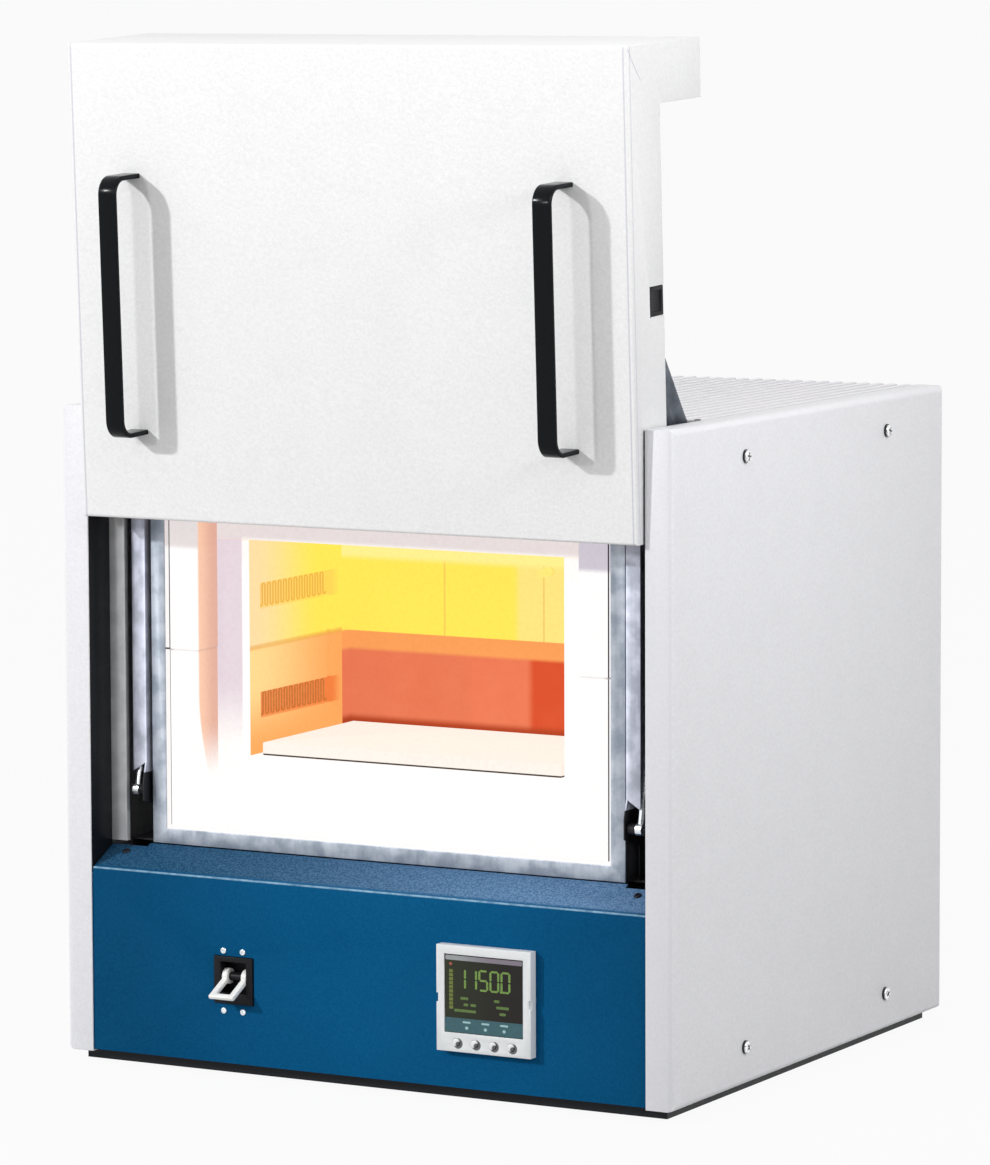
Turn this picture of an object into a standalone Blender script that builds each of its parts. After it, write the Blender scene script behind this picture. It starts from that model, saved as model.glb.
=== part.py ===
"""Bench box furnace with a lift-up door on parallel arms and gas struts, built in metres.

+X is the right-hand side, the front faces -Y and +Z is up. Every piece is drawn in the cabinet's
own frame, where the second coordinate is the depth behind the front plane of the side flanges.
The door stands raised at rest, as a loaded furnace is left open.
"""
import math

import bmesh
import bpy
from mathutils import Vector

# Cabinet
WIDTH = 0.634
DEPTH = 0.565
PANEL_HEIGHT = 0.601
PANEL_BASE = 0.012
FLANGE = 0.0285
FOLD_RADIUS = 0.007
SHEET = 0.0015
GAP = 0.0003
OVERRUN = 0.02
PLATE_LAP = 0.0135

# Plinth and feet
PLINTH_BASE = 0.003
PLINTH_INSET = 0.014
PLINTH_WALL = 0.002
FOOT_RADIUS = 0.018
FOOT_INSET = 0.033

# Blue control panel with its sloping sill
CONTROL_HEIGHT = 0.1726
SILL_DEPTH = 0.0399
SILL_RISE = 0.0199
RETURN_DEPTH = 0.02

# Controller
BEZEL = 0.096
BEZEL_PROUD = 0.0103
BEZEL_RIM = 0.008
CONTROLLER_INSET = 0.158
CONTROLLER_RISE = 0.0848
CONTROLLER_CUTOUT = 0.092
CONTROLLER_LENGTH = 0.108
KEY_STRIP = 0.017
KEY_RADIUS = 0.0036
KEY_CLEARANCE = 0.0003
KEY_PITCH = 0.0185
KEY_PROUD = 0.0012
KEY_TRAVEL = 0.001
KEY_DEPTH = 0.003
WINDOW_POCKET = 0.003
CLIP_NOTCH = 0.008
CLIP_DEPTH = 0.002

# Twin-pole breaker
BREAKER_INSET = 0.1526
BREAKER_RISE = 0.07905
BREAKER_WIDTH = 0.0418
BREAKER_HEIGHT = 0.0443
BREAKER_LENGTH = 0.06
TOGGLE_RISE = 0.0025
TOGGLE_SINK = 0.0085
TOGGLE_HUB = 0.0075
TOGGLE_SPAN = 0.0265
TOGGLE_POCKET = 0.0145
LEVER_WIDTH = 0.0065
LEVER_THICK = 0.005
LEVER_REACH = 0.031
LEVER_DROOP = math.radians(27)

# Side pockets beside the chamber, as shares of the pocket's width from the inner case outwards
POCKET = 0.0415
WEB_SHARE = 0.08
UPRIGHT_FACE_SHARE = 0.424
STRUT_SHARE = 0.3735
STRUT_RADIUS_SHARE = 0.1445
ARM_SHARE = 0.53
STRIP_SHARE = 0.6217
JAMB_WALL = 0.0012
POCKET_DEPTH = 0.037
STRIP_LIP = 0.006
STRIP_TOP_DROP = 0.03
UPRIGHT_DEPTH = 0.118
UPRIGHT_TOP_DROP = 0.013
MITRE_RISE = 0.076
MITRE_DROP = 0.009
LUG_HALF = 0.009

# Inner case, chamber frame and refractory
BAY_HEIGHT = 0.057
CASE_FRONT = 0.0438
CASE_DEPTH = 0.376
FRAME_SIDE = 0.0147
FRAME_FOOT = 0.014
FRAME_HEAD = 0.0168
COLLAR_FRONT = 0.045
COLLAR_STEP = 0.005
COLLAR_REAR = 0.081
BOSS_INSET = 0.003
RECESS_SIDE = 0.048
RECESS_FLOOR = 0.057
RECESS_ROOF = 0.041
RECESS_FLARE = 0.0215
FLARE_DEPTH = 0.0255
SEAM_RISE = 0.181
CHAMBER_SIDE = 0.082
FLOOR_THICK = 0.081
ROOF_THICK = 0.0685
CHAMBER_REAR = 0.25
REAR_RECESS = 0.014
HEARTH_THICK = 0.012
HEARTH_SIDE_GAP = 0.008
HEARTH_FRONT = 0.09

# Heating elements in their grooves
ELEMENT_FRONT = 0.101
ELEMENT_REAR = 0.23
ELEMENT_HEIGHT = 0.024
LOWER_ELEMENT_RISE = 0.0455
UPPER_ELEMENT_RISE = 0.147
GROOVE_DEPTH = 0.0065
ELEMENT_THICK = 0.004
ELEMENT_LINK = 0.008

# Thermocouple
PROBE_RADIUS = 0.004
PROBE_BORE = 0.0044
PROBE_X = 0.06
PROBE_DROP = 0.035
PROBE_REACH = 0.018
PROBE_HEAD = 0.014
PROBE_HEAD_LENGTH = 0.03

# Chassis, top and rear panels, and what the lower bay holds
SHELF_FRONT = 0.0605
SHELF_INSET = 0.0055
SHELF_REAR_GAP = 0.01
TOP_FRONT = 0.12
RIB_COUNT = 40
RIB_HEIGHT = 0.0018
RIB_TOP_SHARE = 0.35
RIB_FOOT_SHARE = 0.6
LOUVRE_COUNT = 9
LOUVRE_PITCH = 0.016
LOUVRE_HEIGHT = 0.006
LOUVRE_LENGTH = 0.2
LOUVRE_X = 0.12
LOUVRE_RISE = 0.38
GLAND_INSET = 0.0735
GLAND_RISE = 0.068
GLAND_NUT = 0.017
GLAND_NUT_LENGTH = 0.0115
GLAND_DOME = 0.013
GLAND_DOME_LENGTH = 0.0165
GLAND_THREAD = 0.0105
GLAND_THREAD_LENGTH = 0.012
GLAND_BORE = 0.0065
RELAY_SIZE = (0.11, 0.1, 0.085)
RELAY_INSET = 0.1385
RELAY_MIDDLE = 0.42
FIN_COUNT = 7
FIN_DEPTH = 0.05
FIN_SLOT_SHARE = 0.55
TERMINAL_SIZE = (0.1, 0.05, 0.04)
TERMINAL_INSET = 0.0885
TERMINAL_MIDDLE = 0.49
TERMINAL_STEP = 0.012

# Door: its height follows from the control panel below and the cabinet top above
DOOR_SIDE_GAP = 0.002
DOOR_PROUD = 0.024
DECK_PROUD = 0.0005
LIP_LAP = 0.0051
DOOR_EDGE = 0.003
SIDE_FLANGE = 0.06
LOWER_FLANGE = 0.017
LOWER_CUT = 0.029
HOOD_DEPTH = 0.139
HOOD_SKIRT = 0.053
NOTCH_DEPTH = 0.0267
NOTCH_BASE = 0.196
NOTCH_HEIGHT = 0.027
PAN_BASE = 0.054
PAN_TOP = 0.375
PAN_REAR = 0.0625
PAN_SHEET = 0.0012
PLUG_CLEARANCE = 0.003
PLUG_BASE = 0.0855
PLUG_TOP = 0.333
PLUG_REAR = 0.0945
PLUG_REVEAL = 0.004

# Strap handles
HANDLE_INSET = 0.0645
HANDLE_WIDTH = 0.018
HANDLE_THICK = 0.0045
HANDLE_STANDOFF = 0.043
HANDLE_BASE = 0.0785
HANDLE_TOP = 0.3165
HANDLE_RADIUS = 0.017

# Parallel arms: the door pins lie at one depth in the door
PIN_SETBACK = 0.04
PIN_RISE = 0.2095
LOWER_PIN_INSET = 0.0055
ARM_LENGTH = 0.1998
ARM_UP = math.radians(57.5)
ARM_DOWN = math.radians(55.9)
DOOR_LEAN = math.radians(2.6)
ARM_PLATE = 0.0025
ARM_ROOT = 0.022
GUIDE_ROOT = 0.016
ARM_EYE = 0.011
DOOR_PIN = 0.004
FRAME_PIN = 0.005
PIN_SHOULDER = 0.008
PIN_CLEARANCE = 0.0003
PIN_OVERHANG = 0.002

# Gas struts
BALL_RISE = 0.0493
BALL_DEPTH = 0.041
STRUT_ARM = 0.03
ROD_RADIUS = 0.003
ROD_CLEARANCE = 0.0005
BALL_PIN = 0.0025
BALL_HOUSING = 0.0055
BALL_CAP = 0.002
ROD_LENGTH = 0.15
CYLINDER_LENGTH = 0.235
CYLINDER_BORE_LENGTH = 0.13
STRUT_EYE = 0.0075
EYE_WIDTH_SHARE = 0.75
NECK_SHARE = 0.6

ROUND_SIDES = 24
SMALL_SIDES = 16
ARC_STEPS = 4
SHARP_ANGLE = math.radians(35)
SIDES = (("left", -1), ("right", 1))

# Levels and half widths that several pieces share
HALF = WIDTH / 2
OPEN_HALF = HALF - FLANGE
CASE_HALF = OPEN_HALF - POCKET
RECESS_HALF = CASE_HALF - RECESS_SIDE
CHAMBER_HALF = CASE_HALF - CHAMBER_SIDE
PLUG_HALF = RECESS_HALF - PLUG_CLEARANCE
SHELF_HALF = OPEN_HALF - SHELF_INSET
CONTROLLER_X = OPEN_HALF - CONTROLLER_INSET
BREAKER_X = BREAKER_INSET - OPEN_HALF
RELAY_X = RELAY_INSET - OPEN_HALF
TERMINAL_X = OPEN_HALF - TERMINAL_INSET
GLAND_X = OPEN_HALF - GLAND_INSET
PANEL_TOP = PANEL_BASE + PANEL_HEIGHT
FACE = SHEET + GAP
BEHIND_FLANGE = OPEN_HALF + PLATE_LAP
CONTROL_TOP = PANEL_BASE + CONTROL_HEIGHT
SHELF_TOP = CONTROL_TOP + SILL_RISE + GAP
CASE_BASE = SHELF_TOP + GAP
CASE_TOP = PANEL_TOP - BAY_HEIGHT
CASE_REAR = CASE_FRONT + CASE_DEPTH
LINING_HALF = CASE_HALF - SHEET - GAP
LINING_BASE = CASE_BASE + SHEET + GAP
LINING_TOP = CASE_TOP - SHEET - GAP
LINING_REAR = CASE_REAR - SHEET - GAP
FLOOR_TOP = CASE_BASE + FLOOR_THICK
ROOF_BASE = CASE_TOP - ROOF_THICK
SEAM = CASE_BASE + SEAM_RISE
PLINTH_FLOOR = PLINTH_BASE + PLINTH_WALL
TOP_SHEET_TOP = PANEL_TOP - SHEET - GAP
TOP_SHEET_BASE = TOP_SHEET_TOP - SHEET
REAR_INNER = DEPTH - SHEET - GAP - SHEET
REAR_OUTER = DEPTH - SHEET - GAP

# Offsets across a pocket, measured from the cabinet's middle
WEB_IN = CASE_HALF + WEB_SHARE * POCKET
WEB_OUT = WEB_IN + SHEET
UPRIGHT_OUT = CASE_HALF + UPRIGHT_FACE_SHARE * POCKET
STRUT_X = CASE_HALF + STRUT_SHARE * POCKET
STRUT_RADIUS = STRUT_RADIUS_SHARE * POCKET
ARM_IN = CASE_HALF + ARM_SHARE * POCKET
ARM_OUT = ARM_IN + ARM_PLATE
STRIP_IN = CASE_HALF + STRIP_SHARE * POCKET
JAMB_IN = OPEN_HALF + GAP
PIN_END = ARM_OUT + PIN_OVERHANG

# Door and linkage, as points of depth and height
DOOR_HALF = OPEN_HALF - DOOR_SIDE_GAP
HANDLE_X = DOOR_HALF - HANDLE_INSET
CLOSED_BASE = CONTROL_TOP - LIP_LAP
DOOR_HEIGHT = PANEL_TOP + DECK_PROUD - CLOSED_BASE
PIN_SPACING = PIN_RISE - PAN_BASE - LOWER_PIN_INSET
LIFT_CLOSED = Vector((PIN_SETBACK - DOOR_PROUD, CLOSED_BASE + PIN_RISE))
GUIDE_CLOSED = LIFT_CLOSED - Vector((0, PIN_SPACING))
LIFT_PIVOT = LIFT_CLOSED + ARM_LENGTH * Vector((math.cos(ARM_DOWN), math.sin(ARM_DOWN)))
LIFT_RAISED = LIFT_PIVOT + ARM_LENGTH * Vector((-math.cos(ARM_UP), math.sin(ARM_UP)))
DOOR_BACK = Vector((math.cos(DOOR_LEAN), math.sin(DOOR_LEAN)))
DOOR_UP = Vector((-math.sin(DOOR_LEAN), math.cos(DOOR_LEAN)))
GUIDE_RAISED = LIFT_RAISED - PIN_SPACING * DOOR_UP


def guide_pivot():
    """The point level in depth with the lift pivot that is as far from both guide pin places."""
    middle = (GUIDE_CLOSED + GUIDE_RAISED) / 2
    travel = GUIDE_RAISED - GUIDE_CLOSED
    return Vector((LIFT_PIVOT.x, middle.y - (LIFT_PIVOT.x - middle.x) * travel.x / travel.y))


def turned(point, centre, angle):
    """A point of depth and height turned about another, from depth towards height."""
    away = point - centre
    return centre + Vector((away.x * math.cos(angle) - away.y * math.sin(angle),
                            away.x * math.sin(angle) + away.y * math.cos(angle)))


GUIDE_PIVOT = guide_pivot()


def guide_slack():
    """Where the lower door pin stands in the guide arm's eye halfway through the travel."""
    half = (ARM_UP + ARM_DOWN) / 2
    guide_half = (GUIDE_RAISED - GUIDE_PIVOT).angle(GUIDE_CLOSED - GUIDE_PIVOT) / 2
    upper = turned(LIFT_RAISED, LIFT_PIVOT, half)
    lower = turned(turned(GUIDE_RAISED, LIFT_PIVOT, half), upper, -half - DOOR_LEAN / 2)
    return turned(lower, GUIDE_PIVOT, -guide_half) - GUIDE_RAISED


GUIDE_SLACK = guide_slack()
STRUT_FOOT = Vector((BALL_DEPTH, SHELF_TOP + BALL_RISE))
STRUT_HEAD = LIFT_PIVOT + STRUT_ARM * (LIFT_RAISED - LIFT_PIVOT).normalized()
STRUT_SPAN = (STRUT_HEAD - STRUT_FOOT).length
STRUT_LEAN = math.atan2(STRUT_HEAD.x - STRUT_FOOT.x, STRUT_HEAD.y - STRUT_FOOT.y)

# Name, base colour, roughness and metallic value of every finish
FINISHES = {
    "white_enamel": ((0.84, 0.84, 0.85), 0.5, 0.0),
    "blue_enamel": ((0.008, 0.08, 0.21), 0.45, 0.0),
    "black_enamel": ((0.012, 0.013, 0.016), 0.35, 0.0),
    "frame_steel": ((0.45, 0.5, 0.58), 0.35, 0.85),
    "dark_steel": ((0.05, 0.07, 0.09), 0.4, 0.6),
    "bright_steel": ((0.65, 0.66, 0.68), 0.25, 1.0),
    "ceramic": ((0.9, 0.86, 0.78), 0.9, 0.0),
    "element_wire": ((0.75, 0.28, 0.08), 0.6, 0.3),
    "handle_black": ((0.01, 0.011, 0.013), 0.3, 0.0),
    "instrument_grey": ((0.55, 0.57, 0.6), 0.45, 0.0),
    "dark_glass": ((0.01, 0.015, 0.012), 0.1, 0.0),
    "breaker_black": ((0.012, 0.012, 0.013), 0.5, 0.0),
    "toggle_white": ((0.85, 0.85, 0.83), 0.4, 0.0),
    "rubber": ((0.015, 0.015, 0.015), 0.8, 0.0),
}


def clear_scene():
    """Empties the scene of whatever it held."""
    for old in list(bpy.data.objects):
        bpy.data.objects.remove(old)


def make_materials():
    """One plain principled material for each finish."""
    made = {}
    for name, (colour, roughness, metallic) in FINISHES.items():
        material = bpy.data.materials.new(name)
        material.use_nodes = True
        shader = material.node_tree.nodes["Principled BSDF"]
        shader.inputs["Base Color"].default_value = (*colour, 1)
        shader.inputs["Roughness"].default_value = roughness
        shader.inputs["Metallic"].default_value = metallic
        made[name] = material
    return made


clear_scene()
MATERIALS = make_materials()


def make_frame(name, depth, height, tilt=0, parent=None):
    """An empty that carries pieces, tilted about the sideways axis."""
    empty = bpy.data.objects.new(name, None)
    bpy.context.collection.objects.link(empty)
    empty.location = (0, depth, height)
    empty.rotation_euler.x = tilt
    empty.parent = parent
    return empty


def add_object(name, bm, frame):
    """Turns the mesh being built into an object carried by a frame."""
    bmesh.ops.recalc_face_normals(bm, faces=bm.faces)
    mesh = bpy.data.meshes.new(name)
    bm.to_mesh(mesh)
    bm.free()
    made = bpy.data.objects.new(name, mesh)
    bpy.context.collection.objects.link(made)
    made.parent = frame
    return made


def span(side, near, far):
    """The sideways range between two offsets, on the left or on the right."""
    return tuple(sorted((side * near, side * far)))


def corners(first, second):
    """The corner points of the rectangle over two ranges."""
    return [(first[0], second[0]), (first[1], second[0]), (first[1], second[1]), (first[0], second[1])]


def circle(centre, radius, sides):
    """Points round a circle."""
    turns = [2 * math.pi * step / sides for step in range(sides)]
    return [(centre[0] + radius * math.cos(turn), centre[1] + radius * math.sin(turn)) for turn in turns]


def prism_mesh(outline, axis, reach):
    """A closed outline drawn out along an axis, as a mesh being built."""
    def place(pair, along):
        if axis == "X":
            return (along, pair[0], pair[1])
        if axis == "Y":
            return (pair[0], along, pair[1])
        return (pair[0], pair[1], along)

    bm = bmesh.new()
    near = [bm.verts.new(place(pair, reach[0])) for pair in outline]
    far = [bm.verts.new(place(pair, reach[1])) for pair in outline]
    bm.faces.new(near)
    bm.faces.new(far)
    for index in range(len(outline)):
        after = (index + 1) % len(outline)
        bm.faces.new((near[index], near[after], far[after], far[index]))
    return bm


def prism(name, outline, axis, reach, frame):
    """A closed outline drawn out along an axis."""
    return add_object(name, prism_mesh(outline, axis, reach), frame)


def block(name, xs, ys, zs, frame):
    """A box over three ranges."""
    return prism(name, corners(xs, ys), "Z", zs, frame)


def disc(name, axis, centre, radius, reach, frame, sides=ROUND_SIDES):
    """A round bar along an axis."""
    made = prism(name, circle(centre, radius, sides), axis, reach, frame)
    made.data.shade_smooth()
    made.data.set_sharp_from_angle(angle=SHARP_ANGLE)
    return made


def rounded_block(name, xs, ys, zs, frame, radius, wanted):
    """A box whose wanted edges are rounded."""
    bm = prism_mesh(corners(xs, ys), "Z", zs)
    chosen = [edge for edge in bm.edges if wanted(edge)]
    bmesh.ops.bevel(bm, geom=chosen, offset=radius, segments=ARC_STEPS, profile=0.5, affect="EDGES")
    return add_object(name, bm, frame)


def sheet_outline(path, thick):
    """A bent sheet's outline: the path and its copy shifted to the left of travel."""
    points = [Vector(point) for point in path]
    shifted = []
    for index, point in enumerate(points):
        before = (point - points[index - 1]).normalized() if index else None
        after = (points[index + 1] - point).normalized() if index + 1 < len(points) else None
        first = before or after
        second = after or before
        normal_sum = Vector((-first.y, first.x)) + Vector((-second.y, second.x))
        share = 2 / normal_sum.length_squared
        shifted.append(point + normal_sum * share * thick)
    return [tuple(point) for point in points + shifted[::-1]]


def rounded_path(path, radius):
    """The path with an arc in place of each inner corner."""
    points = [Vector(point) for point in path]
    smooth = [points[0]]
    for before, corner, after in zip(points, points[1:], points[2:]):
        arrive = (corner - before).normalized()
        leave = (after - corner).normalized()
        half_turn = arrive.angle_signed(leave) / 2
        cut = radius * math.tan(abs(half_turn))
        start = corner - arrive * cut
        centre = start + Vector((-arrive.y, arrive.x)) * math.copysign(radius, -half_turn)
        for step in range(ARC_STEPS * 2 + 1):
            swing = -2 * half_turn * step / (ARC_STEPS * 2)
            arm = start - centre
            turned = Vector((arm.x * math.cos(swing) - arm.y * math.sin(swing),
                             arm.x * math.sin(swing) + arm.y * math.cos(swing)))
            smooth.append(centre + turned)
    smooth.append(points[-1])
    return [tuple(point) for point in smooth]


def change(target, operation, tools):
    """Adds or cuts away the tools, which stay as hidden wire guides."""
    for tool in tools:
        modifier = target.modifiers.new(tool.name, "BOOLEAN")
        modifier.operation = operation
        modifier.object = tool
        modifier.solver = "EXACT"
        tool.hide_render = True
        tool.display_type = "WIRE"
    return target


def join(target, *tools):
    """Makes one solid of the target and the tools."""
    return change(target, "UNION", tools)


def cut(target, *tools):
    """Cuts the tools out of the target."""
    return change(target, "DIFFERENCE", tools)


def finish(target, material):
    """Gives a piece its material."""
    target.data.materials.append(MATERIALS[material])
    return target


def door_place(back, up):
    """Depth and height, with the door raised, of a point given in the door's own frame."""
    lift_pin = Vector((PIN_SETBACK, PIN_RISE))
    return LIFT_RAISED + (back - lift_pin.x) * DOOR_BACK + (up - lift_pin.y) * DOOR_UP


def handle_outline():
    """Side view of a strap handle in the door's own frame."""
    path = [(-GAP, HANDLE_BASE), (-HANDLE_STANDOFF, HANDLE_BASE),
            (-HANDLE_STANDOFF, HANDLE_TOP), (-GAP, HANDLE_TOP)]
    return sheet_outline(rounded_path(path, HANDLE_RADIUS), -HANDLE_THICK)


FRONT_REACH = -min(door_place(back, up).x for back, up in handle_outline())
REAR_REACH = REAR_OUTER + GAP + GLAND_NUT_LENGTH + GLAND_DOME_LENGTH
FRONT_Y = (FRONT_REACH - REAR_REACH) / 2
CABINET = make_frame("cabinet_frame", FRONT_Y, 0)


def side_panel(label, side):
    """A shallow pan: the outer face with a flange folded in along all four edges."""
    outer_face = side * HALF
    inner_face = side * (HALF - SHEET)
    touch = GAP / 10

    def folded(face):
        return lambda edge: all(abs(vert.co.x - face) < touch for vert in edge.verts)

    panel = rounded_block(f"side_panel_{label}", span(side, OPEN_HALF, HALF), (0, DEPTH),
                          (PANEL_BASE, PANEL_TOP), CABINET, FOLD_RADIUS, folded(outer_face))
    hollow = rounded_block(f"cut_side_panel_{label}", span(side, OPEN_HALF - OVERRUN, HALF - SHEET),
                           (SHEET, DEPTH - SHEET), (PANEL_BASE + SHEET, PANEL_TOP - SHEET), CABINET,
                           FOLD_RADIUS - SHEET, folded(inner_face))
    finish(cut(panel, hollow), "white_enamel")


def plinth():
    """The black tray under the cabinet and its four feet."""
    half = HALF - PLINTH_INSET
    ys = (PLINTH_INSET, DEPTH - PLINTH_INSET)
    tray = block("base_pan", (-half, half), ys, (PLINTH_BASE, PANEL_BASE - GAP), CABINET)
    hollow = block("cut_base_pan", (PLINTH_WALL - half, half - PLINTH_WALL),
                   (ys[0] + PLINTH_WALL, ys[1] - PLINTH_WALL), (PLINTH_FLOOR, PANEL_BASE + OVERRUN),
                   CABINET)
    finish(cut(tray, hollow), "black_enamel")
    for label, side in SIDES:
        for row, depth in (("front", ys[0] + FOOT_INSET), ("rear", ys[1] - FOOT_INSET)):
            foot = disc(f"foot_{row}_{label}", "Z", (side * (half - FOOT_INSET), depth), FOOT_RADIUS,
                        (0, PLINTH_BASE - GAP), CABINET)
            finish(foot, "rubber")


def control_panel():
    """The blue face, folded back along its foot and into a sloping sill along its top."""
    base = PANEL_BASE + SHEET + GAP
    path = [(FACE + RETURN_DEPTH, base), (FACE, base), (FACE, CONTROL_TOP),
            (FACE + SILL_DEPTH, CONTROL_TOP + SILL_RISE)]
    half = OPEN_HALF - GAP
    panel = prism("control_panel", sheet_outline(path, -SHEET), "X", (-half, half), CABINET)
    wing_top = CONTROL_TOP - LIP_LAP - SHEET
    wings = block("add_control_wings", (-BEHIND_FLANGE, BEHIND_FLANGE), (FACE, FACE + SHEET),
                  (base, wing_top), CABINET)
    join(panel, wings)
    for label, side in SIDES:
        corner = block(f"cut_sill_{label}", span(side, CASE_HALF + WEB_SHARE * POCKET - GAP, HALF),
                       (POCKET_DEPTH - GAP, POCKET_DEPTH + OVERRUN),
                       (CONTROL_TOP - OVERRUN, CONTROL_TOP + SILL_RISE + OVERRUN), CABINET)
        cut(panel, corner)
    centre = PANEL_BASE + CONTROLLER_RISE
    half_hole = CONTROLLER_CUTOUT / 2
    through = (-OVERRUN, FACE + SHEET + OVERRUN / 2)
    controller_hole = block("cut_controller", (CONTROLLER_X - half_hole, CONTROLLER_X + half_hole), through,
                            (centre - half_hole, centre + half_hole), CABINET)
    breaker_centre = PANEL_BASE + BREAKER_RISE
    breaker_hole = block("cut_breaker", (BREAKER_X - BREAKER_WIDTH / 2, BREAKER_X + BREAKER_WIDTH / 2),
                         through,
                         (breaker_centre - BREAKER_HEIGHT / 2, breaker_centre + BREAKER_HEIGHT / 2),
                         CABINET)
    finish(cut(panel, controller_hole, breaker_hole), "blue_enamel")


def controller():
    """The panel instrument: sleeve, bezel, window and four keys in their wells."""
    centre = PANEL_BASE + CONTROLLER_RISE
    half_case = CONTROLLER_CUTOUT / 2 - GAP
    case = block("controller_case", (CONTROLLER_X - half_case, CONTROLLER_X + half_case),
                 (FACE, FACE + CONTROLLER_LENGTH), (centre - half_case, centre + half_case), CABINET)
    finish(case, "instrument_grey")
    half = BEZEL / 2
    front = FACE - BEZEL_PROUD
    bezel = block("controller_bezel", (CONTROLLER_X - half, CONTROLLER_X + half), (front, FACE - GAP),
                  (centre - half, centre + half), CABINET)
    window_x = (CONTROLLER_X - half + BEZEL_RIM, CONTROLLER_X + half - BEZEL_RIM)
    window_z = (centre - half + KEY_STRIP, centre + half - BEZEL_RIM)
    pocket = block("cut_window", window_x, (front - OVERRUN, front + WINDOW_POCKET), window_z, CABINET)
    cut(bezel, pocket)
    for label, side in SIDES:
        notch = block(f"cut_clip_{label}", (CONTROLLER_X + side * half - CLIP_DEPTH,
                                            CONTROLLER_X + side * half + CLIP_DEPTH),
                      (front - OVERRUN, front + WINDOW_POCKET),
                      (centre - CLIP_NOTCH / 2, centre + CLIP_NOTCH / 2),
                      CABINET)
        cut(bezel, notch)
    key_z = centre - half + KEY_STRIP / 2
    for index in range(4):
        key_x = CONTROLLER_X + (index - 1.5) * KEY_PITCH
        seat = front + KEY_DEPTH + KEY_TRAVEL + KEY_CLEARANCE
        well = disc(f"cut_key_{index + 1}", "Y", (key_x, key_z), KEY_RADIUS + KEY_CLEARANCE,
                    (front - OVERRUN, seat), CABINET, SMALL_SIDES)
        cut(bezel, well)
        holder = make_frame(f"key_frame_{index + 1}", front, key_z, 0, CABINET)
        key = disc(f"controller_key_{index + 1}", "Y", (key_x, 0), KEY_RADIUS, (-KEY_PROUD, KEY_DEPTH),
                   holder, SMALL_SIDES)
        finish(key, "instrument_grey")
    finish(bezel, "instrument_grey")
    window = block("controller_window", (window_x[0] + GAP, window_x[1] - GAP),
                   (front + WINDOW_POCKET / 3, front + WINDOW_POCKET - GAP),
                   (window_z[0] + GAP, window_z[1] - GAP), CABINET)
    finish(window, "dark_glass")


def breaker():
    """The twin-pole breaker body with a pocket for the ganged toggle."""
    centre = PANEL_BASE + BREAKER_RISE
    front = FACE - SHEET
    half_x = BREAKER_WIDTH / 2 - GAP
    half_z = BREAKER_HEIGHT / 2 - GAP
    body = block("breaker_body", (BREAKER_X - half_x, BREAKER_X + half_x), (front, front + BREAKER_LENGTH),
                 (centre - half_z, centre + half_z), CABINET)
    hub_z = centre + TOGGLE_RISE
    half_span = TOGGLE_SPAN / 2
    half_pocket = half_span + GAP
    pocket = block("cut_toggle_pocket", (BREAKER_X - half_pocket, BREAKER_X + half_pocket),
                   (front - OVERRUN, front + TOGGLE_SINK + TOGGLE_HUB + GAP),
                   (hub_z - TOGGLE_POCKET, hub_z + TOGGLE_POCKET), CABINET)
    finish(cut(body, pocket), "breaker_black")
    holder = make_frame("toggle_frame", front + TOGGLE_SINK, hub_z, 0, CABINET)
    hub = disc("breaker_toggle", "X", (0, 0), TOGGLE_HUB, (BREAKER_X - half_span, BREAKER_X + half_span),
               holder)
    along = Vector((-math.cos(LEVER_DROOP), -math.sin(LEVER_DROOP)))
    across = Vector((along.y, -along.x)) * (LEVER_THICK / 2)
    tip = along * LEVER_REACH
    lever_outline = [tuple(across), tuple(tip + across), tuple(tip - across), tuple(-across)]
    for label, side in SIDES:
        middle = BREAKER_X + side * (half_span - LEVER_WIDTH / 2)
        lever = prism(f"add_lever_{label}", lever_outline, "X",
                      (middle - LEVER_WIDTH / 2, middle + LEVER_WIDTH / 2), holder)
        join(hub, lever)
    root = along * (LEVER_REACH - LEVER_THICK)
    bar_outline = [tuple(root + across), tuple(tip + across), tuple(tip - across), tuple(root - across)]
    bar = prism("add_tie_bar", bar_outline, "X", (BREAKER_X - half_span, BREAKER_X + half_span), holder)
    finish(join(hub, bar), "toggle_white")


def pocket_sheets(label, side):
    """The black jamb wall behind the flange and the grey strip that the door lands on."""
    top = PANEL_TOP - SHEET - GAP
    wall = block(f"door_jamb_{label}", span(side, JAMB_IN, JAMB_IN + JAMB_WALL), (FACE, POCKET_DEPTH),
                 (CONTROL_TOP - LIP_LAP, top), CABINET)
    tab = block(f"add_jamb_tab_{label}", span(side, JAMB_IN, BEHIND_FLANGE), (FACE, FACE + SHEET),
                (CONTROL_TOP - LIP_LAP, top), CABINET)
    finish(join(wall, tab), "black_enamel")
    strip_front = POCKET_DEPTH + GAP
    strip_z = (CASE_BASE, CASE_TOP - STRIP_TOP_DROP)
    strip = block(f"landing_strip_{label}", span(side, STRIP_IN, JAMB_IN + JAMB_WALL),
                  (strip_front, strip_front + SHEET), strip_z, CABINET)
    lip = block(f"add_strip_lip_{label}", span(side, STRIP_IN, STRIP_IN + SHEET),
                (strip_front, strip_front + STRIP_LIP), strip_z, CABINET)
    finish(join(strip, lip), "frame_steel")


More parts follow.
